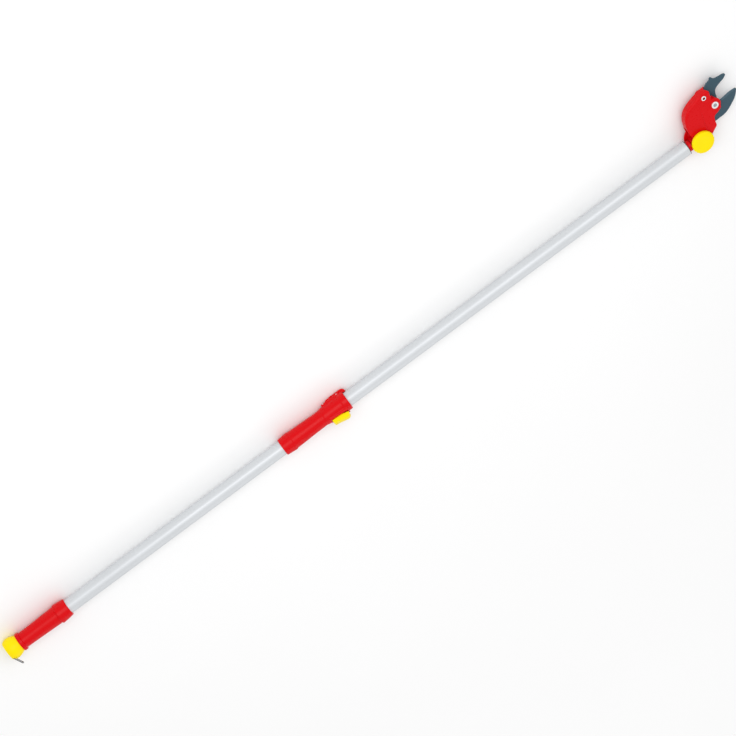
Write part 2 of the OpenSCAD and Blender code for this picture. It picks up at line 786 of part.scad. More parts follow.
module head_back_shell() {
    color(RED) on_head() difference() {
        union() {
            mirror([0, 0, 1]) head_shell_solid();
            translate([pivot[0], pivot[1], -plate_in - eps])
                cylinder(h = counter_z0 + plate_in + eps, r = 11);
            translate([lock[0], lock[1], -plate_in - eps])
                cylinder(h = counter_z0 + plate_in + eps, r = 8);
        }
        rod_z(0, 0, -big, 1, clamp_bolt_d / 2 + 0.1);
        rod_z(pivot[0], pivot[1], -big, 1, pivot_d / 2 + 0.1);
        rod_z(lock[0], lock[1], -big, 1, lock_r + 0.1);
        rod_z(anchor[0], anchor[1], -plate_in - 1, 1, anchor_r);
        for (p = shell_screw_at) {
            rod_z(p[0], p[1], -big, 1, 1.6);
            rod_z(p[0], p[1], -big, -plate_out + 2.2, 3);
        }
    }
}

module shell_screws() {
    color(STEEL) on_head() for (p = shell_screw_at) difference() {
        union() {
            rod_z(p[0], p[1], -plate_out + 1, plate_in - 1.2, 1.3);
            rod_z(p[0], p[1], -plate_out + 0.2, -plate_out + 2.2, 2.8);
        }
        rod_z(p[0], p[1], -plate_out - 1, -plate_out + 1.4, 1.2, $fn = 6);
    }
}

module counter_blade() {
    outline = concat(
        run([pivot + [-11, -4], pivot + [-12.5, 8], lock + [-10, -16], lock + [-9.6, -2],
            lock + [-7.4, 3], lock + [-1, 5], lock + [7, 4.4], lock + [16, 4.8], lock + [25, 6.6],
            lock + [33.6, 6.4], lock + [37.2, 9]], 5),
        run([lock + [38.8, 9.4], lock + [41.7, 7.8], lock + [42, 4], lock + [43.4, -0.2],
            lock + [50.8, -5], lock + [59.8, -9.2], lock + [63.4, -11.8], lock + [64.6, -14.2],
            lock + [62.8, -16.4], lock + [53.8, -18.8], lock + [42.8, -19.4]], 5),
        run([pivot + [39.3, 13.6], pivot + [31, 13.4], pivot + [24, 11.4], pivot + [18.8, 6],
            pivot + [15.4, -1], pivot + [11.4, -6.4], pivot + [4, -11]], 5),
        arc(pivot, 11.7, 270, 200, 8));
    color(BLADE) on_head() difference() {
        plate(counter_z0, counter_z1) polygon(outline);
        rod_z(pivot[0], pivot[1], -big, big, pivot_d / 2 + run_fit);
        rod_z(lock[0], lock[1], -big, big, lock_r + 0.1);
    }
}

module cutting_blade() {
    tip = lever_end;
    outline = concat(
        run([pivot + [9, -8], pivot + [14, -11.6], pivot + [18.6, -13.4], pivot + [28, -15.4],
            pivot + [39.2, -17.6], pivot + [51.2, -22.6]], 5),
        run([pivot + [52.4, -24.4], pivot + [49.8, -27.8], pivot + [36.6, -36.8], pivot + [22, -41.4],
            pivot + [8, -44.4], pivot + [-3.4, -44.2], pivot + [-15, -40.8],
            pivot + [-24, -38.2], pivot + [-30, -33], pivot + [-30, -24], pivot + [-22, -12],
            pivot + [-17, 2], tip + [-6.6, -5]], 5),
        arc(tip, 6.4, 190, 20, 12),
        run([pivot + [-4, 14], pivot + [4, 9.8], pivot + [9.4, 4.4], pivot + [9.6, -2]], 4));
    color(BLADE) on_head() difference() {
        plate(cutting_z0, cutting_z1) polygon(outline);
        rod_z(pivot[0], pivot[1], -big, big, pivot_d / 2 + run_fit);
        rod_z(tip[0], tip[1], -big, big, 2);
    }
}

module lock_screw() {
    z = plate_in + 2.9;
    color(STEEL) on_head() difference() {
        union() {
            rod_z(lock[0], lock[1], -plate_out + 0.2, z, lock_r);
            rod_z(lock[0], lock[1], z, z + 1.5, 5.2);
        }
        rod_z(lock[0], lock[1], z - 1.6, z + 3, 2, $fn = 6);
    }
}

module lock_nut() {
    color(STEEL) on_head() difference() {
        rod_z(lock[0], lock[1], -plate_out - 3, -plate_out, 4.6, $fn = 6);
        rod_z(lock[0], lock[1], -plate_out - 4, -plate_out + 1, lock_r);
    }
}

module lock_spacer() {
    color(STEEL) on_head() difference() {
        rod_z(lock[0], lock[1], counter_z1, plate_in, lock_boss_r);
        rod_z(lock[0], lock[1], counter_z1 - 1, plate_in + 1, lock_r + 0.1);
    }
}

module pivot_bolt() {
    z = plate_in + 3.4;
    color(STEEL) on_head() difference() {
        union() {
            rod_z(pivot[0], pivot[1], -plate_out - 5, z, pivot_d / 2);
            translate([pivot[0], pivot[1], z]) rotate_extrude() polygon(
                [[0, 0], [7.6, 0], [7.6, 1.4], [7, 2.2], [0, 2.2]]);
        }
        rod_z(pivot[0], pivot[1], z + 0.7, z + 3, 4);
    }
}

module pivot_nut() {
    color(STEEL) on_head() difference() {
        union() {
            rod_z(pivot[0], pivot[1], -plate_out - 1.2, -plate_out, 9);
            rod_z(pivot[0], pivot[1], -plate_out - 6.4, -plate_out - 1.2, 7.5, $fn = 6);
        }
        rod_z(pivot[0], pivot[1], -plate_out - 7, -plate_out + 1, pivot_d / 2);
    }
}

module pivot_bush() {
    color(BRASS) on_head() difference() {
        rod_z(pivot[0], pivot[1], cutting_z1 + 0.1, plate_in, pivot_d / 2 + 2);
        rod_z(pivot[0], pivot[1], cutting_z1 - 1, plate_in + 1, pivot_d / 2 + run_fit);
    }
}

module block_pulley() {
    color(NYLON) on_head() translate([lever_end[0], lever_end[1], cord_z])
        grooved_wheel(pulley_t, pulley_r, pulley_groove_r, 2 + run_fit);
}

module pulley_pin() {
    color(STEEL) on_head() {
        rod_z(lever_end[0], lever_end[1], cutting_z0, plate_in - 1.6, 2);
        rod_z(lever_end[0], lever_end[1], pulley_z0 + pulley_t + 0.2, plate_in - 1.2, 3.2);
    }
}

// Torsion spring round the pivot bush: a coil and its two straight legs
module return_spring() {
    turns = 4;
    n = 24 * turns;
    r = pivot_d / 2 + 3.4;
    z0 = cutting_z1 + 0.9;
    z1 = plate_in - 0.9;
    coil = [for (i = [0 : n])
        let (a = 200 + 360 * turns * i / n)
            [pivot[0] + r * cos(a), pivot[1] + r * sin(a), z0 + (z1 - z0) * i / n]];
    leg_a = coil[0] + 12 * [sin(200), -cos(200), 0];
    leg_b = coil[n] + 9 * [-sin(200), cos(200), 0];
    color(STEEL) on_head() sweep(concat([leg_a], coil, [leg_b]), 0.5, 6);
}

module cord_anchor() {
    color(STEEL) on_head() rod_z(anchor[0], anchor[1], -plate_in - 1, plate_in + 1, anchor_r);
}

// Cord inside the head: round the swivel roller, out to the block pulley and back to its anchor
module head_cord() {
    wrap_r = cord_wrap_r;
    reach = lever_end;
    out_a = atan2(reach[1], reach[0]);
    pr = pulley_groove_r + cord_r;
    lean = asin((wrap_r - pr) / norm(reach));
    leave = out_a - 90 + lean;
    back = reach - anchor;
    back_a = atan2(back[1], back[0]) + 90 + asin((pr - anchor_wrap_r) / norm(back));
    flat = concat(
        arc([0, 0], wrap_r, -90 - head_turn, leave, 10),
        arc(reach, pr, leave, back_a, 16),
        arc(anchor, anchor_wrap_r, back_a, back_a + 60, 3));
    color(CORD) on_head() sweep([for (p = flat) [p[0], p[1], cord_z]], cord_r, 8);
}

// Cord through the pole: straight on its axis, then aside to the swivel roller
module pull_cord() {
    x0 = pole_len - 8;
    x1 = hub_x - 2;
    color(CORD) sweep(concat([[cord_tail_x, 0, 0]],
        [for (k = [0 : 8]) let (t = k / 8, w = t * t * (3 - 2 * t))
            [x0 + (x1 - x0) * t, -cord_wrap_r * w, cord_z * w]],
        [[hub_x - 0.3, -cord_wrap_r, cord_z]]), cord_r, 8);
}

module cord_stop() {
    x1 = cord_tail_x;
    x0 = x1 - cord_stop_len;
    color(BLACK) turned_x([[x0, 0], [x0, 2.6], [x0 + 1, 3.6],
        [x1 - 1, 3.6], [x1, 2.6], [x1, 0]]);
}

outer_tube();
tube_collar();
inner_tube();
inner_tail_bush();
expander_cone();
expander_sleeve();
end_cap();
end_plug();
cap_pin();
wire_bail();
lower_grip();
handle_upper_shell();
handle_lower_shell();
handle_screws();
handle_bushes();
cord_carriage();
release_button();
button_pin();
button_spring();
clamp_jaw();
jaw_screw();
neck();
neck_pins();
swivel_roller();
friction_washers();
clamp_bolt();
hub_cap();
clamp_knob();
knob_insert();
knob_washer();
head_front_shell();
head_back_shell();
shell_screws();
counter_blade();
lock_screw();
lock_nut();
lock_spacer();
pivot_bolt();
pivot_nut();
pivot_bush();
cutting_blade();
block_pulley();
pulley_pin();
return_spring();
cord_anchor();
head_cord();
pull_cord();
cord_stop();
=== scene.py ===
import json
import math

import bpy
import numpy as np
from bpy.props import FloatProperty, FloatVectorProperty, PointerProperty
from mathutils import Matrix, Vector


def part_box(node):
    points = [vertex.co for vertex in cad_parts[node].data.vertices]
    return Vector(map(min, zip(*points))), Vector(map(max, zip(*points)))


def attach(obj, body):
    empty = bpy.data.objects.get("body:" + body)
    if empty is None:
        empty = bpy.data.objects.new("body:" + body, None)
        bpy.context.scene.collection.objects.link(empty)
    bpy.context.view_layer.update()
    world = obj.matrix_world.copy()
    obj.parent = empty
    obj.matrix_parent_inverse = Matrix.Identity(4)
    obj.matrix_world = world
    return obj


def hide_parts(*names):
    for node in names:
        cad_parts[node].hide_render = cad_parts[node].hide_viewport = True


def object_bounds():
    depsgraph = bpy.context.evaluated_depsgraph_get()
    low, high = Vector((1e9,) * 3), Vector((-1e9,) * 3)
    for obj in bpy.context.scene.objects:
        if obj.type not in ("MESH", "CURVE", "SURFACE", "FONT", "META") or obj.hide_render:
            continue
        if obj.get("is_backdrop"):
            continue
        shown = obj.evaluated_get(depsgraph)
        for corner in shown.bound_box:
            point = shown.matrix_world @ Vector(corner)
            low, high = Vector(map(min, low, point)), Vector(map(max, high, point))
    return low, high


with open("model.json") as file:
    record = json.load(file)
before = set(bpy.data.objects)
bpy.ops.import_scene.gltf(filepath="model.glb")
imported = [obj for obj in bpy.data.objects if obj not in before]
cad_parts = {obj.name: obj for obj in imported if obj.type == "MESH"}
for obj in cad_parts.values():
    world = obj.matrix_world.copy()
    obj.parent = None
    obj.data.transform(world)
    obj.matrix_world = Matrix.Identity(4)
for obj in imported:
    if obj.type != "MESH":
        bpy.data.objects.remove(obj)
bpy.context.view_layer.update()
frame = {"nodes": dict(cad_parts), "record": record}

bl_info = {
    "name": "Telescoping pole pruner",
    "version": (1, 0, 0),
    "blender": (4, 5, 0),
    "location": "3D View > Sidebar > Pole Pruner",
    "description": "Builds the finished surfaces and materials of a telescoping pole pruner",
    "category": "Object",
}

MM = 0.001
JOINTS = {j["name"]: j for j in frame["record"]["behaviour"]["joints"]}


def joint_point(name):
    """A joint's place in millimetres."""
    return np.array(JOINTS[name]["pos_m"]) / MM


def edge(node, side, axis):
    """One face of a CAD node's box in millimetres: side 0 is the low one, axis 0 is X."""
    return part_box(node)[side][axis] / MM


# Places and sizes that the frame gives, in millimetres
TUBE_R = (edge("outer_tube", 1, 2) - edge("outer_tube", 0, 2)) / 2
HUB = joint_point("head_swivel")
CHEEK_TOP = edge("knob_washer", 0, 2)
KNOB_LOW = edge("clamp_knob", 0, 2)
KNOB_TOP = edge("clamp_knob", 1, 2)

# The head from its swivel axis: the pivot bolt, the locking screw, and a side plate's inner and outer face
PIVOT_OFF = np.array([74.0, 34.0])
LOCK_OFF = PIVOT_OFF + (-3.5, 33.0)
PLATE_IN = 8.8
PLATE_OUT = 11.0

# How far the head, the pull handle and the end cap are turned at rest
PIVOT_AT = joint_point("blade_close") - HUB
HEAD_TURN = math.atan2(PIVOT_AT[1], PIVOT_AT[0]) - math.atan2(PIVOT_OFF[1], PIVOT_OFF[0])
HANDLE_TURN = math.atan2(JOINTS["button_press"]["axis"][1], JOINTS["button_press"]["axis"][2])
CAP_TURN = math.atan2(JOINTS["bail_swing"]["axis"][1], JOINTS["bail_swing"]["axis"][2])

# The pull handle: its rear end's place on the pole, then places from that end, and its half widths and radii
HANDLE_X = edge("handle_bushes", 0, 0) - 3.0
HANDLE_LEN = 165.0
BORE_R = TUBE_R + 0.5
BUTTON_X = (115.0, 153.0)
BUTTON_HALF = 9.0
HOUSING_HALF = 13.2
SCREWS_X = (119.0, HANDLE_LEN - 12.0)
SCREW_UP = TUBE_R + 2.9
SCREW_SEAT = 9.2
BEAK_LEN = 7.8


# ---- settings ----


def linear(code):
    """A display colour such as c8ccd0 as linear values: each channel over 12.92, or ((v + 0.055) / 1.055) ^
    2.4."""
    v = np.array([int(code[k:k + 2], 16) / 255 for k in (0, 2, 4)])
    v = np.where(v <= 0.04045, v / 12.92, ((v + 0.055) / 1.055) ** 2.4)
    return (*v, 1.0)


class PrunerSizes(bpy.types.PropertyGroup):
    """Sizes of the finished surfaces."""

    shoulder: FloatProperty(name="Head shoulder", description="Rounding of the head shells' closed edge",
                            default=4.2 * MM, unit="LENGTH")
    mouth_round: FloatProperty(name="Mouth edge", description="Rounding of the head shells' open edge",
                               default=1.1 * MM, unit="LENGTH")
    grind_width: FloatProperty(name="Grind width", description="Width of the cutting blade's ground bevel",
                               default=3.4 * MM, unit="LENGTH")
    knob_lobe: FloatProperty(name="Knob lobe", description="Depth of the hollows round the clamp knob",
                             default=0.9 * MM, unit="LENGTH")
    parting: FloatProperty(name="Parting line", description="Depth of the line where the handle shells meet",
                           default=0.45 * MM, unit="LENGTH")
    wire: FloatProperty(name="Bail wire", description="Diameter of the hanging bail's wire",
                        default=2.0 * MM, unit="LENGTH")


class PrunerColours(bpy.types.PropertyGroup):
    """Colours of the finishes, in linear values."""

    red: FloatVectorProperty(name="Red plastic", description="Moulded signal red", subtype="COLOR",
                             size=3, default=linear("d4010a")[:3])
    yellow: FloatVectorProperty(name="Yellow plastic", description="Moulded bright yellow",
                                subtype="COLOR", size=3, default=linear("fbe000")[:3])
    blade: FloatVectorProperty(name="Blade coating", description="Slate coating on the blades",
                               subtype="COLOR", size=3, default=linear("38525f")[:3])
    tube: FloatVectorProperty(name="Tube", description="Satin anodised aluminium", subtype="COLOR",
                              size=3, default=linear("d0d3d6")[:3])


# ---- shapes ----


def spline_run(points, n=6):
    """A smooth run through the points: between each two, the Catmull-Rom cubic of the four nearest, in n
    steps."""
    p = np.asarray(points, float)
    q = np.vstack([p[:1], p, p[-1:]])
    a, b, c, d = (q[k:k + len(p) - 1, None] for k in range(4))
    t = (np.arange(n) / n)[None, :, None]
    square = (2 * a - 5 * b + 4 * c - d) * t ** 2
    cube = (3 * b - a - 3 * c + d) * t ** 3
    curve = 0.5 * (2 * b + (c - a) * t + square + cube)
    return np.vstack([curve.reshape(-1, p.shape[1]), p[-1:]])


def arc(centre, radius, a0, a1, n=16):
    """Points round a centre at one radius, from angle a0 to a1 in degrees."""
    a = np.radians(np.linspace(a0, a1, n + 1))
    return np.asarray(centre) + radius * np.stack([np.cos(a), np.sin(a)], 1)


def even_loop(points, n):
    """A closed outline walked at n even steps of its own length."""
    p = np.vstack([points, points[:1]])
    s = np.concatenate([[0], np.cumsum(np.linalg.norm(np.diff(p, axis=0), axis=1))])
    keep = np.concatenate([[True], np.diff(s) > 1e-9])
    at = np.linspace(0, s[-1], n, endpoint=False)
    return np.stack([np.interp(at, s[keep], p[keep, k]) for k in range(2)], 1)


def inward(loop):
    """Unit normals of a closed outline, pointing in: the line between a point's two neighbours, turned a
    quarter and averaged along the outline."""
    t = np.roll(loop, -1, 0) - np.roll(loop, 1, 0)
    n = np.stack([-t[:, 1], t[:, 0]], 1)
    area = np.sum(loop[:, 0] * np.roll(loop[:, 1], -1) - np.roll(loop[:, 0], -1) * loop[:, 1])
    n = n * np.sign(area)
    for _ in range(3):
        n = (np.roll(n, 1, 0) + 2 * n + np.roll(n, -1, 0)) / 4
    return n / np.linalg.norm(n, axis=1, keepdims=True)


def step(x, a, b):
    """0 before a, 1 after b, and the cubic 3t^2 - 2t^3 between them."""
    t = np.clip((x - a) / (b - a), 0, 1)
    return t * t * (3 - 2 * t)


def rounded(c, s, a, b, power):
    """Distance from the middle to a rounded rectangle of half sizes a and b in the direction (c, s): the
    two sides' distances as a power mean, squarer as the power grows."""
    return ((np.abs(c) / a) ** power + (np.abs(s) / b) ** power) ** (-1 / power)


def about_x(p, angle):
    """Points turned about the X axis, +Z towards +Y."""
    y, z = p[..., 1], p[..., 2]
    return np.stack([p[..., 0], y * math.cos(angle) + z * math.sin(angle),
                     z * math.cos(angle) - y * math.sin(angle)], -1)


def on_head(p):
    """Points drawn from the swivel axis, turned to the head's rest turn and put on the pole."""
    c, s = math.cos(HEAD_TURN), math.sin(HEAD_TURN)
    x, y = p[..., 0], p[..., 1]
    return np.stack([HUB[0] + x * c - y * s, x * s + y * c, p[..., 2]], -1)


def grid_faces(rows, cols):
    """Quads of a grid whose columns close on themselves: each joins two neighbours and the two after them."""
    r = np.arange(rows - 1)[:, None]
    c = np.arange(cols)[None, :]
    c2 = (c + 1) % cols
    quads = np.stack([r * cols + c, r * cols + c2, (r + 1) * cols + c2, (r + 1) * cols + c], -1)
    return quads.reshape(-1, 4)


def loft(rings):
    """(points, faces) of rings joined in order, with a flat face across the first and the last."""
    rows, cols = rings.shape[:2]
    ends = [list(range(cols))[::-1], list(range((rows - 1) * cols, rows * cols))]
    return rings.reshape(-1, 3), grid_faces(rows, cols).tolist() + ends


def lathe(profile, turns=128, lobes=None):
    """A solid of revolution about Z: each (radius, height) of the profile carried round in even steps.
    lobes(angles, profile) adds to the radius."""
    prof = np.asarray(profile, float)
    a = np.linspace(0, 2 * math.pi, turns, endpoint=False)[None, :]
    r = np.maximum(prof[:, :1], 0.02) + (lobes(a, prof) if lobes else 0 * a)
    return loft(np.stack([r * np.cos(a), r * np.sin(a), np.broadcast_to(prof[:, 1:], r.shape)], -1))


def fillet(corner, r, a0, a1, n=5):
    """Profile points round a corner centre, radius r, between two angles in degrees."""
    return [tuple(q) for q in arc(corner, r, a0, a1, n)]


def tube_along(path, normal, r, sides=14):
    """A round wire along a flat path: at each point a circle of radius r, spanned by the plane's normal and
    by that normal crossed with the path's direction."""
    t = np.gradient(path, axis=0)
    t /= np.linalg.norm(t, axis=1, keepdims=True)
    across = np.cross(normal, t)[:, None]
    a = np.linspace(0, 2 * math.pi, sides, endpoint=False)[None, :, None]
    return loft(path[:, None] + r * (np.cos(a) * normal + np.sin(a) * across))


def slab(loop, rows):
    """A plate with worked edges: rows of (inset, height), each a number or one value for each point of the
    outline, lofted from the lower face to the upper one."""
    n = inward(loop)
    inset, height = (np.array([np.broadcast_to(row[k], len(loop)) for row in rows])[..., None]
                     for k in (0, 1))
    return loft(np.concatenate([loop + n * inset, height], -1))


def joined(*parts):
    """Several (points, faces) as one."""
    pts, faces, start = [], [], 0
    for p, f in parts:
        pts.append(p)
        faces += [[i + start for i in face] for face in f]
        start += len(p)
    return np.vstack(pts), faces


def moved(part, by):
    """(points, faces) shifted."""
    return part[0] + np.asarray(by, float), part[1]


def flipped(part):
    """(points, faces) mirrored in the XY plane, with the faces turned so that they still face out."""
    return part[0] * (1, 1, -1), [f[::-1] for f in part[1]]


def face_out(part):
    """(points, faces) with every face turned over if the solid's signed volume is negative."""
    pts, faces = part
    vol = 0.0
    quads = np.array([f for f in faces if len(f) == 4])
    for a, b, c in ((0, 1, 2), (0, 2, 3)):
        vol += np.sum(pts[quads[:, a]] * np.cross(pts[quads[:, b]], pts[quads[:, c]]))
    for f in faces:
        if len(f) != 4:
            q = pts[f]
            vol += np.sum(q[0] * np.cross(q[1:-1], q[2:]))
    return part if vol > 0 else (pts, [f[::-1] for f in faces])


def make(name, part, place=None, angle=32):
    """An object from (points in millimetres, faces), put where place() says, smooth but for edges over the
    angle."""
    pts, faces = part
    pts = pts if place is None else place(pts)
    mesh = bpy.data.meshes.new(name)
    mesh.from_pydata((pts * MM).tolist(), [], faces)
    mesh.validate()
    mesh.shade_smooth()
    mesh.set_sharp_from_angle(angle=math.radians(angle))
    obj = bpy.data.objects.new(name, mesh)
    bpy.context.scene.collection.objects.link(obj)
    return obj


# ---- materials ----


def add(tree, kind, inputs=None, **settings):
    """Adds a node, sets its settings, and sets or links its inputs."""
    node = tree.nodes.new(kind)
    for key, value in settings.items():
        setattr(node, key, value)
    for key, value in (inputs or {}).items():
        if isinstance(value, bpy.types.NodeSocket):
            tree.links.new(value, node.inputs[key])
        else:
            node.inputs[key].default_value = value
    return node


def start(name):
    """A new material's node tree with its surface shader and the object's own coordinates."""
    mat = bpy.data.materials.new(name)
    mat.use_nodes = True
    tree = mat.node_tree
    tree.nodes.clear()
    out = add(tree, "ShaderNodeOutputMaterial")
    shader = add(tree, "ShaderNodeBsdfPrincipled")
    tree.links.new(shader.outputs[0], out.inputs[0])
    return mat, tree, shader, add(tree, "ShaderNodeTexCoord").outputs["Object"]


def tint(colour, k):
    """A colour made k times as bright."""
    return tuple(min(1.0, c * k) for c in colour[:3]) + (1.0,)


def grain(tree, where, scale, stretch=(1, 1, 1), detail=3.0):
    """Noise of so many patches a metre, drawn out along an axis by a stretch under 1."""
    at = add(tree, "ShaderNodeMapping", {"Vector": where, "Scale": stretch}).outputs[0]
    return add(tree, "ShaderNodeTexNoise", {"Vector": at, "Scale": scale, "Detail": detail}).outputs[0]


def finish_of(tree, shader, where, colour, spread, patch, rough, rough_spread, bump, bump_scale,
              stretch=(1, 1, 1)):
    """Colour that drifts by the spread over broad patches, gloss that varies over smaller ones, and a fine
    relief. Patch and bump_scale count patches a metre."""
    drift = add(tree, "ShaderNodeMixRGB", {"Fac": grain(tree, where, patch),
                                           "Color1": tint(colour, 1 - spread),
                                           "Color2": tint(colour, 1 + spread)})
    tree.links.new(drift.outputs[0], shader.inputs["Base Color"])
    gloss = add(tree, "ShaderNodeMapRange", {"Value": grain(tree, where, patch * 6, stretch),
                                             "From Min": 0.3, "From Max": 0.7,
                                             "To Min": rough - rough_spread,
                                             "To Max": rough + rough_spread})
    tree.links.new(gloss.outputs[0], shader.inputs["Roughness"])
    relief = add(tree, "ShaderNodeBump", {"Strength": bump, "Distance": 0.0001,
                                          "Height": grain(tree, where, bump_scale, stretch)})
    tree.links.new(relief.outputs[0], shader.inputs["Normal"])


def moulded(name, colour, rough=0.3, bump=0.12, grain_mm=0.9, gloss=0.15):
    """Moulded plastic: an even colour with a faint spark-eroded grain that softens the highlight without
    hiding it."""
    mat, tree, shader, where = start(name)
    finish_of(tree, shader, where, colour, spread=0.035, patch=45, rough=rough, rough_spread=0.05, bump=bump,
              bump_scale=1 / (grain_mm * MM))
    shader.inputs["Specular IOR Level"].default_value = gloss
    return mat


def drawn_metal(name, colour, rough=0.3, metallic=0.9, lines=(0.02, 1, 1), bump=0.18, spread=0.03):
    """Metal with tool or draw lines along one axis, which draw the highlight out into a silky streak."""
    mat, tree, shader, where = start(name)
    finish_of(tree, shader, where, colour, spread, patch=25, rough=rough, rough_spread=0.05, bump=bump,
              bump_scale=2600, stretch=lines)
    shader.inputs["Metallic"].default_value = metallic
    return mat


def coated_steel(name, colour):
    """Slate low-friction coating on a ground blade: matt, a little uneven, with rub marks lengthwise."""
    mat, tree, shader, where = start(name)
    finish_of(tree, shader, where, colour, spread=0.10, patch=120, rough=0.42, rough_spread=0.07, bump=0.2,
              bump_scale=1500, stretch=(0.15, 1, 1))
    shader.inputs["Metallic"].default_value = 0.25
    shader.inputs["Specular IOR Level"].default_value = 0.35
    return mat


def braided(name, colour):
    """Braided cord: crossed bands of light and shade about a millimetre apart."""
    mat, tree, shader, where = start(name)
    wave = add(tree, "ShaderNodeTexWave", {"Vector": where, "Scale": 160.0, "Distortion": 3.0},
               wave_type="BANDS", bands_direction="DIAGONAL")
    mix = add(tree, "ShaderNodeMixRGB", {"Fac": wave.outputs["Fac"], "Color1": tint(colour, 0.7),
                                         "Color2": tint(colour, 1.3)})
    tree.links.new(mix.outputs[0], shader.inputs["Base Color"])
    relief = add(tree, "ShaderNodeBump", {"Strength": 0.5, "Distance": 0.0002, "Height": wave.outputs["Fac"]})
    tree.links.new(relief.outputs[0], shader.inputs["Normal"])
    shader.inputs["Roughness"].default_value = 0.85
    return mat


FINISH_NAMES = {
    "red_plastic": "Signal red moulded plastic",
    "yellow_plastic": "Yellow moulded plastic",
    "black_plastic": "Black matt plastic",
    "nylon": "Natural nylon",
    "aluminium": "Satin anodised aluminium",
    "bright_steel": "Zinc plated steel",
    "spring_wire": "Drawn spring wire",
    "zinc_alloy": "Cast zinc alloy",
    "brass": "Turned brass",
    "blade_coating": "Slate blade coating",
    "cord": "Braided polyester cord",
}
# A near-black material that paints the shade inside the locking screw's socket
PAINTED_SOCKET_SHADE = "Painted shade of the socket"


def make_finishes():
    """Every finish of the tool."""
    c = bpy.context.scene.pruner_colours
    # The large red mouldings: saturated, with a broad soft highlight
    moulded(FINISH_NAMES["red_plastic"], c.red)
    # The knob, button and end cap: bright and a little duller than the red
    moulded(FINISH_NAMES["yellow_plastic"], c.yellow, rough=0.38, gloss=0.12)
    # Seals and the tube's collar: a dull, grained near black
    moulded(FINISH_NAMES["black_plastic"], linear("26282a"), rough=0.55, bump=0.3)
    # Bushes, rollers and plugs: a waxy off-white
    moulded(FINISH_NAMES["nylon"], linear("e8e6df"), rough=0.45)
    # The tubes: pale grey with draw lines along the pole
    drawn_metal(FINISH_NAMES["aluminium"], c.tube, rough=0.5, metallic=0.35)
    # Screws, bolts and washers: a light silver with turning marks
    drawn_metal(FINISH_NAMES["bright_steel"], linear("eceded"), rough=0.34, metallic=0.35, lines=(1, 1, 0.2))
    # The bail and the springs: mid grey, glossy wire
    drawn_metal(FINISH_NAMES["spring_wire"], linear("7d8084"), rough=0.3, lines=(1, 1, 1))
    # The pivot bolt's dished face: a flat, slightly pitted grey
    drawn_metal(FINISH_NAMES["zinc_alloy"], linear("a4a6aa"), rough=0.45, lines=(1, 1, 1), bump=0.35)
    # The knob's threaded insert: warm yellow metal with turning marks
    drawn_metal(FINISH_NAMES["brass"], linear("c8a552"), rough=0.33, lines=(1, 1, 0.2))
    # The locking screw's socket: near-black painted shade standing in for the dark of the hollow
    drawn_metal(PAINTED_SOCKET_SHADE, linear("2a2c2f"), rough=0.7, lines=(1, 1, 1), bump=0.3)
    # Both blades: slate blue-grey, matt, with rub marks
    coated_steel(FINISH_NAMES["blade_coating"], c.blade)
    # The pull cord: dark grey plaits
    braided(FINISH_NAMES["cord"], linear("3c3f45"))


def finish(slot):
    """The material of one of the record's slots."""
    return bpy.data.materials[FINISH_NAMES[slot]]


def dress(obj, slot, body, *nodes):
    """Gives a new piece its finish and its body, and lets it stand for its CAD nodes."""
    obj.data.materials.append(finish(slot))
    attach(obj, body)
    if nodes:
        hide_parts(*nodes)


# ---- outlines ----


def shell_outline():
    """The head's side plates, from the swivel axis: smooth runs round the closed back, the mouth and the
    pivot."""
    p, k = PIVOT_OFF, LOCK_OFF
    parts = [
        spline_run([(-7, 17.5), (-6.5, 27), (-4.5, 37), (0, 47), (6.5, 58.5), (16, 68.5), (26, 73.8),
                    (38, 76.4), (53, 76.8), k + (-3, 9), k + (9, 7.4), k + (16, 4.6)]),
        spline_run([k + (17.2, 1), k + (15.6, -4), k + (11.5, -14), p + (5.5, 13.4)]),
        arc(p, 14.6, 62, -58),
        spline_run([p + (4, -17.5), p + (-7, -19.4), p + (-16, -19.2), p + (-21.5, -23.5), p + (-26, -31),
                    p + (-30, -39), (36, -7.6), (26, -10.4), (15, -13)]),
    ]
    return even_loop(np.vstack(parts), 520)


def counter_outline():
    """The hooked counter blade: its back, the hook's tip, the mouth and the round of its pivot."""
    p, k = PIVOT_OFF, LOCK_OFF
    parts = [
        spline_run([p + (-11, -4), p + (-12.5, 8), k + (-10, -16), k + (-9.6, -2), k + (-7.4, 3),
                    k + (-1, 4.6), k + (7, 3.6), k + (14, 2.8), k + (19, 4.2), k + (25, 6.4), k + (33.6, 6.4),
                    k + (37.2, 9)], 5),
        spline_run([k + (38.8, 9.4), k + (41.7, 7.8), k + (42, 4), k + (43.4, -0.2), k + (50.8, -5),
                    k + (59.8, -9.2), k + (63.4, -11.8), k + (64.6, -14.2), k + (62.8, -16.4),
                    k + (53.8, -18.8), k + (42.8, -19.4)], 5),
        spline_run([p + (39.3, 13.6), p + (31, 13.4), p + (24, 11.4), p + (18.8, 6), p + (15.4, -1),
                    p + (11.4, -6.4), p + (4, -11)], 5),
        arc(p, 11.7, 270, 200, 8),
    ]
    return even_loop(np.vstack(parts), 420)


def cutting_outline():
    """The curved cutting blade with its lever: the cutting edge, the tip, the back and the round of its
    pulley pin."""
    p = PIVOT_OFF
    tip = p + 27.0 * np.array([math.cos(math.radians(125)), math.sin(math.radians(125))])
    parts = [
        spline_run([p + (9, -8), p + (14, -11.6), p + (18.6, -13.4), p + (28, -15.4), p + (39.2, -17.6),
                    p + (51.2, -22.6)], 5),
        spline_run([p + (52.4, -24.4), p + (49.8, -27.8), p + (36.6, -36.8), p + (22, -41.4), p + (8, -44.4),
                    p + (-3.4, -44.2), p + (-15, -40.8), p + (-24, -38.2), p + (-30, -33), p + (-30, -24),
                    p + (-22, -12), p + (-17, 2), tip + (-6.6, -5)], 5),
        arc(tip, 6.4, 190, 20, 12),
        spline_run([p + (-4, 14), p + (4, 9.8), p + (9.4, 4.4), p + (9.6, -2)], 4),
    ]
    return even_loop(np.vstack(parts), 420)


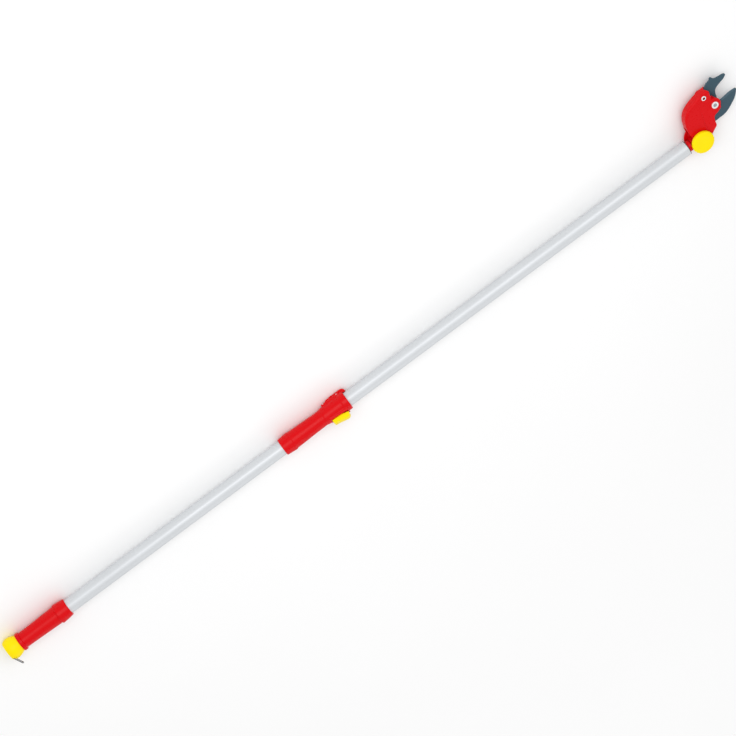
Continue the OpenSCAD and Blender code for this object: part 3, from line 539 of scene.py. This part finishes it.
def in_mouth(loop):
    """1 where an outline point lies on the head's open side, 0 on its closed back. The open side is past a
    line beside the locking screw, below the pivot, and within reach of the neck as the head swings."""
    x, y = loop[:, 0], loop[:, 1]
    past = step(x, LOCK_OFF[0] + 14, LOCK_OFF[0] + 16)
    below = (1 - step(y, 30, 38)) * step(x, 26, 30)
    return np.maximum(np.maximum(past, below), 1 - step(np.hypot(x, y), 42, 45))


# ---- pieces ----


def head_shell(sizes):
    """The front shell: a plate lofted over its outline with a full round along the back and a small one at
    the mouth, a wall down to the parting plane along the back only, the hub's cheek, and round bosses for
    the two bolts."""
    loop = shell_outline()
    mouth = in_mouth(loop)
    for _ in range(4):
        mouth = (np.roll(mouth, 1) + mouth + np.roll(mouth, -1)) / 3
    r = sizes.shoulder / MM * (1 - mouth) + sizes.mouth_round / MM * mouth
    low = 0.12 * (1 - mouth) + PLATE_IN * mouth
    wall = 1.0 + 1.2 * (1 - mouth) * (1 - step(loop[:, 0], LOCK_OFF[0] - 4, LOCK_OFF[0] + 4))
    rows = [(wall, PLATE_IN + 0.02), (wall, low), (0.25, low), (0.0, low + 0.25)]
    for a in np.radians(np.linspace(0, 90, 9)):
        rows.append((r * (1 - np.cos(a)), PLATE_OUT - r + r * np.sin(a) + 0.03 * np.sin(a)))
    rows.append((r + 1.0, PLATE_OUT + 0.04))
    plate = face_out(slab(loop, rows))
    top = CHEEK_TOP - 0.02

    def spread(a, p):
        turn = np.degrees(np.mod(a + math.pi, 2 * math.pi) - math.pi)
        foot = (p[:, :1] > 19) * (p[:, 1:] > PLATE_IN + 0.01)
        return 7.0 * step(turn, -36, -22) * (1 - step(turn, 98, 112)) * foot

    cheek = face_out(lathe([(4.3, 7.3), (19.3, 7.3), (19.5, 7.5), (19.5, PLATE_IN), (19.5, PLATE_IN + 0.1)]
                           + fillet((18.5, top - 1.0), 1.0, 0, 90)[:-1] + [(18.3, top), (4.3, top)],
                           192, spread))
    boss = face_out(lathe([(4.2, PLATE_IN), (13.0, PLATE_IN + 1.9), (12.0, PLATE_OUT + 0.1)]
                          + fillet((10.3, PLATE_IN + 2.2), 1.2, 10, 90) + [(4.2, PLATE_IN + 3.4)], 96))
    small = face_out(lathe([(2.6, PLATE_IN), (8.6, PLATE_IN + 1.9), (7.8, PLATE_OUT + 0.1)]
                           + fillet((6.6, PLATE_IN + 2.0), 0.9, 10, 90) + [(2.6, PLATE_IN + 2.9)], 72))
    return joined(plate, cheek, moved(boss, (*PIVOT_OFF, 0)), moved(small, (*LOCK_OFF, 0)))


def blade(loop, z0, z1, width, depth):
    """A flat blade: a hair of rounding below, and above it a ground bevel of its own width and depth at
    each point."""
    return face_out(slab(loop, [(0.25, z0), (0.0, z0 + 0.25), (0.0, z1 - depth),
                                (width * 0.5, z1 - depth * 0.5), (width, z1), (width + 0.5, z1 + 0.004)]))


def handle_radius(x, th, sizes):
    """How far the pull handle reaches from the pole's axis at x past its rear end, in the direction th from
    the ridge. It is the smooth maximum of a round grip, a rounded box, the ridge's bar and the button's two
    cheeks, with the button's well, the screws' seats and the parting line taken out."""
    c, s = np.cos(th), np.sin(th)
    g = TUBE_R + 3.7
    end = HANDLE_LEN
    rear = ([0, 0.5, 1.4, 3, 12, 20.5, 23.2, 24.6, 25.4, 26.5],
            [-2.1, -1.2, -0.7, -0.45, 0.3, 1.2, 1.35, 0.9, 0.1, -0.02])
    grip = ([45, 75, 98, 103, 107, 111], [-0.5, -1.5, -1.95, -1.8, -0.6, -0.2])
    nose = ([end - 16, end - 14.5, end - 12, end - 1.2, end - 0.4, end], [-0.2, 0.3, 1.3, 1.3, 0.8, -0.1])
    base = g + np.interp(x, rear[0] + grip[0] + nose[0], rear[1] + grip[1] + nose[1])
    box_in = step(x, 106, 116) * (1 - step(x, end - 7, end - 1.5))
    box = rounded(c, s, np.where(c > 0, TUBE_R + 6.6, TUBE_R + 1.2), HOUSING_HALF, 4.6) * box_in
    ridge_top = np.interp(x, [125, 125.6, 126.6, 129, 137, 160, end], [5.4, 7.6, 9.0, 9.8, 10.5, 10.6, 10.4])
    ridge = np.where(c > 0, rounded(c, s, TUBE_R + ridge_top, 5.5, 9), 0) * step(x, 124.2, 125.2)
    cheek_low = np.interp(x, [112, 156], [TUBE_R + 2.8, TUBE_R + 6.0])
    cheek_in = step(x, 107, 113) * (1 - step(x, 155.5, 158.5))
    cheek = np.where(c < 0, rounded(c, s, cheek_low, HOUSING_HALF, 12), 0) * cheek_in
    sharp = 46
    r = (base ** sharp + box ** sharp + ridge ** sharp + cheek ** sharp) ** (1 / sharp)
    well = (c < 0) & (np.abs(r * s) < BUTTON_HALF + 0.4) & (x > BUTTON_X[0] - 0.4) & (x < BUTTON_X[1] + 0.9)
    r = np.where(well, TUBE_R + 1.1, r)
    for at in SCREWS_X:
        seat = SCREW_SEAT / np.maximum(np.abs(s), 1e-3)
        near = (s < 0) & (np.hypot(x - at, seat * c - SCREW_UP) < 2.6) & (seat < r)
        r = np.where(near, seat, r)
    return r - sizes.parting / MM * np.exp(-((r * s) / 0.4) ** 2) * (~well)


def beak(side):
    """One half of the ridge's beak: rounded rectangles set along the pole, their tops falling in a curve to
    the tip."""
    x = np.linspace(HANDLE_LEN - 5, HANDLE_LEN + BEAK_LEN, 26)[:, None]
    fall = ([160, 165, 167, 169, 171, 172.2, 172.8], [10.5, 10.4, 9.9, 8.9, 6.7, 4.2, 2.2])
    top = TUBE_R + np.interp(x, *fall)
    low = TUBE_R + 0.7
    a = np.linspace(0, 2 * math.pi, 64, endpoint=False)[None, :]
    reach = rounded(np.cos(a), np.sin(a), 1.0, 1.0, 7)
    y = (top + low) / 2 + (top - low) / 2 * reach * np.cos(a)
    z = side * (2.74 + 2.7 * reach * np.sin(a)) + 0 * y
    return face_out(loft(np.stack([np.broadcast_to(HANDLE_X + x, y.shape), y, z], -1)))


def handle_half(sizes, side):
    """One shell of the pull handle: rings of its outer reach over half a turn and back along its bore, set
    along the pole, and its half of the beak."""
    stations = ((0, 3, 8), (3.5, 19, 14), (19.5, 28, 26), (29, 98, 42), (98.5, 118, 50), (118.4, 150, 72),
                (150.3, HANDLE_LEN, 56))
    x = np.concatenate([np.linspace(*run) for run in stations])[:, None]
    th = side * np.linspace(0, math.pi, 260)[None, :]
    r = handle_radius(x, th, sizes)
    outer = np.stack([np.broadcast_to(HANDLE_X + x, r.shape), r * np.cos(th), r * np.sin(th)], -1)
    back = side * np.linspace(math.pi, 0, 48)[None, :]
    bore = np.full((len(x), back.size), BORE_R)
    along = np.broadcast_to(HANDLE_X + x, bore.shape)
    inner = np.stack([along, bore * np.cos(back), bore * np.sin(back)], -1)
    body = face_out(loft(np.concatenate([outer, inner], 1) + (0, 0, side * 0.03)))
    return joined(body, beak(side))


def button_shape():
    """The release button: rounded rectangles set along the pole, each as high as the thumb curve at its
    place."""
    length = BUTTON_X[1] - BUTTON_X[0]
    edge_r = 0.9
    thumb = [(0, 10), (1, 11.8), (12, 13.7), (24, 16.2), (29, 17.1), (33, 16.8), (37, 13.2), (38, 9.8)]
    curve = spline_run(thumb, 8)
    x = np.concatenate([[0.0, 0.12, 0.5, 1.1], np.linspace(2, 36, 60), [36.8, 37.4, 37.85, length]])[:, None]
    top = TUBE_R + np.interp(x, curve[:, 0], curve[:, 1])
    low = TUBE_R + np.interp(x, [0, 23, length], [2.8, 3.6, 7.8])
    near = np.clip(np.minimum(x, length - x) / 1.4, 0, 1)
    cut = edge_r - edge_r * np.sqrt(np.clip(1 - (1 - near) ** 2, 0, 1))
    a = np.linspace(0, 2 * math.pi, 96, endpoint=False)[None, :]
    reach = rounded(np.cos(a), np.sin(a), 1.0, 1.0, 9)
    ribs = 0.22 * np.cos(2 * math.pi * (x - 12) / 3.2) * step(x, 9, 10) * (1 - step(x, 25, 26))
    on_top = step(np.cos(a), 0.6, 0.8) * (np.abs(np.sin(a) * reach) < 0.82)
    y = -((top + low) / 2 + ((top - low) / 2 - cut) * reach * np.cos(a) + ribs * on_top)
    z = (BUTTON_HALF - cut) * reach * np.sin(a)
    return face_out(loft(np.stack([np.broadcast_to(HANDLE_X + BUTTON_X[0] + x, y.shape), y, z], -1)))


def along_pole(part):
    """A part turned about Z laid along X instead."""
    p = part[0]
    return np.stack([p[:, 2], p[:, 0], p[:, 1]], 1), part[1]


def grip_shape():
    """The lower grip: a profile of end collar, waist, long taper and flared flange, turned round the pole."""
    x0 = edge("lower_grip", 0, 0)
    x1 = edge("lower_grip", 1, 0)
    r, cr = TUBE_R + 1.6, TUBE_R + 6.0
    taper = spline_run([(x0 + 9.4, r), (x0 + 30, r + 0.3), (x0 + 65, r + 1.2), (x1 - 28.6, r + 2.1)], 10)
    flare = spline_run([(x1 - 27.6, cr - 0.9), (x1 - 26, cr - 0.05), (x1 - 19, cr - 0.4), (x1 - 8, cr - 1.6),
                        (x1 - 1.6, cr - 2.5)], 8)
    prof = [(TUBE_R, x0), (r + 1.9, x0), (r + 2.5, x0 + 0.25), (r + 2.85, x0 + 0.9), (r + 2.9, x0 + 2.2),
            (r + 2.9, x0 + 6.6), (r + 2.6, x0 + 7.5), (r + 1.9, x0 + 8.0), (r + 0.5, x0 + 8.35),
            (r + 0.1, x0 + 8.7)]
    prof += [(b, a) for a, b in taper] + [(r + 2.15, x1 - 28.2), (r + 2.9, x1 - 28.0)]
    prof += [(b, a) for a, b in flare]
    prof += [(cr - 2.9, x1 - 0.7), (cr - 3.6, x1 - 0.15), (cr - 4.4, x1), (TUBE_R, x1)]
    return face_out(along_pole(lathe(prof, 160)))


def knob_shape(sizes):
    """The clamp knob: a domed disc whose rim has shallow hollows, and a fine raised ring and dish on its
    face."""
    r = (edge("clamp_knob", 1, 0) - edge("clamp_knob", 0, 0)) / 2
    z0, z1 = KNOB_LOW, KNOB_TOP
    rim = spline_run([(r - 3.6, z0), (r - 1.4, z0 + 0.7), (r - 0.3, z0 + 2.2), (r, z0 + 4.0), (r, z1 - 4.0),
                      (r - 0.9, z1 - 2.2), (r - 3.4, z1 - 0.95), (r - 7, z1 - 0.45)], 7)
    face = [(r - 8.2, z1 - 0.4), (r - 8.6, z1 - 0.32), (r - 9.0, z1 - 0.12), (r - 9.8, z1 - 0.06),
            (r - 10.2, z1 - 0.2), (r - 10.8, z1 - 0.28), (8, z1 - 0.5), (4, z1 - 0.62), (0.5, z1 - 0.66)]
    prof = [(6.2, z0)] + [tuple(q) for q in rim] + face

    def lobes(a, p):
        deep = step(p[:, 1:], z0 + 0.6, z0 + 2.4) * (1 - step(p[:, 1:], z1 - 3.4, z1 - 1.6))
        hollow = (0.5 - 0.5 * np.cos(a * 24)) ** 2
        return -sizes.knob_lobe / MM * deep * step(p[:, :1], r - 2.4, r - 0.4) * hollow

    return face_out(moved(lathe(prof, 288, lobes), (HUB[0], 0, 0)))


def hub_cover_shape():
    """The round cover on the far side of the hub: a shallow dish with a full rim and a dimpled middle."""
    r = (edge("hub_cap", 1, 0) - edge("hub_cap", 0, 0)) / 2
    z0, z1 = edge("hub_cap", 0, 2), edge("hub_cap", 1, 2)
    under = spline_run([(6, z0 + 0.7), (9, z0 + 0.2), (r - 12, z0 + 0.25), (r - 6, z0 + 1.2),
                        (r - 1.9, z0 + 3.5), (r - 0.1, z1 - 3.2), (r - 0.4, z1 - 1.9), (r - 2.4, z1 - 1.2)], 7)
    prof = [(0.5, z0 + 0.7)] + [tuple(q) for q in under] + [(20.6, z1 - 0.85), (19.5, z1), (0.5, z1)]
    return face_out(moved(lathe(prof, 160), (HUB[0], 0, 0)))


def bail_shape(sizes):
    """The hanging bail: two hinge ends, two arms and a cross wire with round corners, in one flat path of
    round wire."""
    half, length, bend, stub = 9.0, 23.0, 3.5, 3.6
    hinge = joint_point("bail_swing")
    rest = math.radians(27 - 90)
    q = arc((length - bend, half - bend), bend, 90, 0, 10)
    e = arc((0.9, half - 0.9), 0.9, 180, 90, 6)
    one = np.vstack([[(0, half - stub)], e, spline_run([(2, half), (length - bend - 0.6, half)], 8), q])
    flat = np.vstack([one, one[::-1] * (1, -1)])
    flat = flat[np.concatenate([[True], np.linalg.norm(np.diff(flat, axis=0), axis=1) > 1e-6])]
    p = np.stack([flat[:, 0] * math.cos(rest), flat[:, 0] * math.sin(rest), flat[:, 1]], 1)
    normal = np.array([-math.sin(rest), math.cos(rest), 0.0])
    pts, faces = face_out(tube_along(p, normal, sizes.wire / MM / 2))
    return about_x(pts, CAP_TURN) + hinge, faces


def bolt_heads():
    """(pivot bolt head, lock screw head): turned discs with a round edge, a shallow dish, and a hexagon
    socket whose radius is the flat's distance over the cosine of the angle from it."""
    z = PLATE_IN + 3.4

    def hexed(a, p):
        inside = (p[:, :1] < 2.4) & (p[:, :1] > 0.1)
        wedge = np.mod(a, math.pi / 3) - math.pi / 6
        return np.where(inside, 1.9 / np.cos(wedge) - p[:, :1], 0)

    big = face_out(lathe([(0.3, edge("pivot_bolt", 0, 2)), (4.0, edge("pivot_bolt", 0, 2)), (4.0, z)]
                         + [(7.3, z), (7.6, z + 0.3), (7.6, z + 1.3)] + fillet((6.9, z + 1.5), 0.7, 0, 90)
                         + [(4.9, z + 2.2), (4.3, z + 1.9), (4.1, z + 0.8), (0.3, z + 0.72)], 96))
    y = PLATE_IN + 2.9
    small = face_out(lathe([(0.3, edge("lock_screw", 0, 2)), (2.5, edge("lock_screw", 0, 2)), (2.5, y)]
                           + [(4.9, y), (5.2, y + 0.3), (5.2, y + 0.8)] + fillet((4.5, y + 0.8), 0.7, 0, 90)
                           + [(2.9, y + 1.5), (2.2, y + 1.45), (2.2, y - 1.4), (0.3, y - 1.4)], 96, hexed))
    return moved(big, (*PIVOT_OFF, 0)), moved(small, (*LOCK_OFF, 0))


# ---- operators ----


class PieceOperator:
    """What every piece's operator shares."""

    bl_options = {"REGISTER", "UNDO"}


class PRUNER_OT_head(PieceOperator, bpy.types.Operator):
    """Builds the two shells of the cutting head"""

    bl_idname = "pruner.head"
    bl_label = "Head shells"

    def execute(self, context):
        shape = head_shell(context.scene.pruner_sizes)
        dress(make("head_front_cover", shape, on_head), "red_plastic", "head", "head_front_shell")
        dress(make("head_back_cover", flipped(shape), on_head), "red_plastic", "head", "head_back_shell")
        return {"FINISHED"}


class PRUNER_OT_blades(PieceOperator, bpy.types.Operator):
    """Builds the hooked counter blade and the curved cutting blade"""

    bl_idname = "pruner.blades"
    bl_label = "Blades"

    def execute(self, context):
        wide = context.scene.pruner_sizes.grind_width / MM
        loop = cutting_outline()
        p = loop - PIVOT_OFF
        ground = step(p[:, 0], 8, 16) * (1 - step(p[:, 0], 44, 51))
        ground = ground * step(p[:, 1] + 14.5 + 0.16 * p[:, 0], -4.0, -1.5)
        z0, z1 = edge("cutting_blade", 0, 2), edge("cutting_blade", 1, 2)
        shape = blade(loop, z0, z1, 0.35 + wide * ground, 0.3 + (z1 - z0 - 0.9) * ground)
        dress(make("cutting_blade_ground", shape, on_head), "blade_coating", "blade", "cutting_blade")
        loop = counter_outline()
        p = loop - PIVOT_OFF
        soft = step(p[:, 0], 18, 28) * (1 - step(p[:, 0], 42, 52)) * (1 - step(p[:, 1], 14.5, 16.5))
        z0, z1 = edge("counter_blade", 0, 2), edge("counter_blade", 1, 2)
        shape = blade(loop, z0, z1, 0.4 + 1.4 * soft, 0.35 + 1.0 * soft)
        dress(make("counter_blade_ground", shape, on_head), "blade_coating", "head", "counter_blade")
        return {"FINISHED"}


class PRUNER_OT_hub(PieceOperator, bpy.types.Operator):
    """Builds the clamp knob and the hub's round cover"""

    bl_idname = "pruner.hub"
    bl_label = "Knob and hub cover"

    def execute(self, context):
        knob = make("clamp_knob_domed", knob_shape(context.scene.pruner_sizes))
        dress(knob, "yellow_plastic", "knob", "clamp_knob")
        dress(make("hub_cover", hub_cover_shape()), "red_plastic", "head", "hub_cap")
        return {"FINISHED"}


class PRUNER_OT_handle(PieceOperator, bpy.types.Operator):
    """Builds the pull handle's two shells and its release button"""

    bl_idname = "pruner.handle"
    bl_label = "Pull handle"

    def execute(self, context):
        sizes = context.scene.pruner_sizes
        for name, side, node in (("pull_handle_right", 1, "handle_upper_shell"),
                                 ("pull_handle_left", -1, "handle_lower_shell")):
            obj = make(name, handle_half(sizes, side), lambda p: about_x(p, HANDLE_TURN), 40)
            dress(obj, "red_plastic", "handle", node)
        button = make("thumb_button", button_shape(), lambda p: about_x(p, HANDLE_TURN), 40)
        dress(button, "yellow_plastic", "button", "release_button")
        return {"FINISHED"}


class PRUNER_OT_lower(PieceOperator, bpy.types.Operator):
    """Builds the lower grip and the hanging bail"""

    bl_idname = "pruner.lower"
    bl_label = "Lower grip and bail"

    def execute(self, context):
        dress(make("lower_grip_turned", grip_shape()), "red_plastic", "pole", "lower_grip")
        bail = make("hanging_bail", bail_shape(context.scene.pruner_sizes))
        dress(bail, "spring_wire", "bail", "wire_bail")
        return {"FINISHED"}


class PRUNER_OT_bolts(PieceOperator, bpy.types.Operator):
    """Builds the pivot bolt and the locking screw"""

    bl_idname = "pruner.bolts"
    bl_label = "Head bolts"

    def execute(self, context):
        big, small = bolt_heads()
        for name, shape, at, reach, inner, node in (
                ("pivot_bolt_turned", big, PIVOT_OFF, 4.0, FINISH_NAMES["zinc_alloy"], "pivot_bolt"),
                # the locking screw's socket faces get a near-black painted shade
                ("lock_screw_turned", small, LOCK_OFF, 2.9, PAINTED_SOCKET_SHADE, "lock_screw")):
            obj = make(name, shape, on_head)
            dress(obj, "bright_steel", "head", node)
            self.darken_centre(obj, at, reach, inner)
        return {"FINISHED"}

    def darken_centre(self, obj, at, reach, inner):
        """Gives the faces within reach of the bolt's axis a second, darker material: painted shade in the
        locking screw's socket, and grey on the pivot bolt's dished face.
        """
        obj.data.materials.append(bpy.data.materials[inner])
        mid = np.zeros(len(obj.data.polygons) * 3)
        obj.data.polygons.foreach_get("center", mid)
        axis = on_head(np.array([*at, 0.0]))[:2]
        off = np.linalg.norm(mid.reshape(-1, 3)[:, :2] / MM - axis, axis=1)
        obj.data.polygons.foreach_set("material_index", (off < reach).astype(int))


class PRUNER_OT_carried(PieceOperator, bpy.types.Operator):
    """Gives every CAD piece that stays its finish, and a fine bevel to the end cap, neck, outer tube and
    collar
    """

    bl_idname = "pruner.carried"
    bl_label = "Carried pieces"

    def execute(self, context):
        slots = {s["node"]: s["material_slot"] for s in frame["record"]["subparts"]}
        soft = {"end_cap": 0.5, "neck": 0.6, "outer_tube": 0.25, "tube_collar": 0.2}
        for name, obj in frame["nodes"].items():
            if obj.hide_render:
                continue
            obj.data.materials.clear()
            obj.data.materials.append(finish(slots[name]))
            if name in soft:
                bevel = obj.modifiers.new("Edge round", "BEVEL")
                bevel.width, bevel.segments, bevel.limit_method = soft[name] * MM, 3, "ANGLE"
                bevel.angle_limit = math.radians(40)
        return {"FINISHED"}


class PRUNER_OT_stage(PieceOperator, bpy.types.Operator):
    """Sets out the pale floor, the soft lights and the camera"""

    bl_idname = "pruner.stage"
    bl_label = "Stage"

    def execute(self, context):
        scene = context.scene
        scene.view_settings.view_transform = "Standard"
        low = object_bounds()[0][2]
        mesh = bpy.data.meshes.new("floor")
        corners = [(x, y, low) for x, y in ((-9, -9), (11, -9), (11, 9), (-9, 9))]
        mesh.from_pydata(corners, [], [(0, 1, 2, 3)])
        floor = bpy.data.objects.new("floor", mesh)
        scene.collection.objects.link(floor)
        mat, tree, shader, where = start("Matt white backdrop paper")
        finish_of(tree, shader, where, linear("f7f7f7"), spread=0.01, patch=2, rough=0.9, rough_spread=0.04,
                  bump=0.05, bump_scale=400)
        shader.inputs["Specular IOR Level"].default_value = 0.1
        floor.data.materials.append(mat)
        floor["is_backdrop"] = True
        world = bpy.data.worlds.new("Soft room")
        scene.world = world
        world.use_nodes = True
        back = world.node_tree.nodes["Background"]
        back.inputs["Color"].default_value = (1, 1, 1, 1)
        back.inputs["Strength"].default_value = 0.74
        for name, place, size, power in (("Long softbox", (0.95, 1.7, 2.3), (3.2, 1.6), 38),
                                         ("Side softbox", (0.95, -2.2, 1.6), (3.0, 1.2), 10)):
            data = bpy.data.lights.new(name, "AREA")
            data.shape, data.size, data.size_y, data.energy = "RECTANGLE", *size, power
            lamp = bpy.data.objects.new(name, data)
            lamp.location = place
            middle = Vector((0.95, 0, 0))
            away = Vector(place) - middle
            lamp.rotation_euler = away.to_track_quat("Z", "Y").to_euler()
            scene.collection.objects.link(lamp)
        scene.camera = self.camera(scene)
        return {"FINISHED"}

    def camera(self, scene):
        """A long lens six metres off, its up turned until the pole rises from lower left to upper right."""
        to_eye = Vector((-0.012, 0.614, 0.789)).normalized()
        along = (Vector((1, 0, 0)) - to_eye * to_eye.x).normalized()
        across = to_eye.cross(along)
        tilt, distance = math.radians(36.57), 6.0
        right = along * math.cos(tilt) - across * math.sin(tilt)
        up = along * math.sin(tilt) + across * math.cos(tilt)
        aim = Vector((0.94, 0.02, 0)) - right * 0.0092 + up * 0.0066
        data = bpy.data.cameras.new("Camera")
        data.lens, data.sensor_width = 143.6, 36.0
        cam = bpy.data.objects.new("Camera", data)
        frame_of = Matrix((right, up, to_eye)).transposed().to_4x4()
        frame_of.translation = aim + to_eye * distance
        cam.matrix_world = frame_of
        scene.collection.objects.link(cam)
        return cam


class PRUNER_PT_panel(bpy.types.Panel):
    """Sizes, colours and the pieces' buttons."""

    bl_idname = "PRUNER_PT_panel"
    bl_label = "Pole Pruner"
    bl_space_type = "VIEW_3D"
    bl_region_type = "UI"
    bl_category = "Pole Pruner"

    def draw(self, context):
        for group in (context.scene.pruner_sizes, context.scene.pruner_colours):
            for key in group.__annotations__:
                self.layout.prop(group, key)
        for op in STEPS:
            self.layout.operator(op.bl_idname)


STEPS = (PRUNER_OT_head, PRUNER_OT_blades, PRUNER_OT_hub, PRUNER_OT_handle, PRUNER_OT_lower, PRUNER_OT_bolts,
         PRUNER_OT_carried, PRUNER_OT_stage)
CLASSES = (PrunerSizes, PrunerColours, *STEPS, PRUNER_PT_panel)


def register():
    for cls in CLASSES:
        bpy.utils.register_class(cls)
    bpy.types.Scene.pruner_sizes = PointerProperty(type=PrunerSizes)
    bpy.types.Scene.pruner_colours = PointerProperty(type=PrunerColours)


def unregister():
    del bpy.types.Scene.pruner_colours
    del bpy.types.Scene.pruner_sizes
    for cls in reversed(CLASSES):
        bpy.utils.unregister_class(cls)


def main():
    """Runs every step in order."""
    register()
    make_finishes()
    for op in STEPS:
        group, name = op.bl_idname.split(".")
        if getattr(getattr(bpy.ops, group), name)() != {"FINISHED"}:
            raise RuntimeError(f"{op.bl_idname} did not finish")


if __name__ == "__main__":
    main()
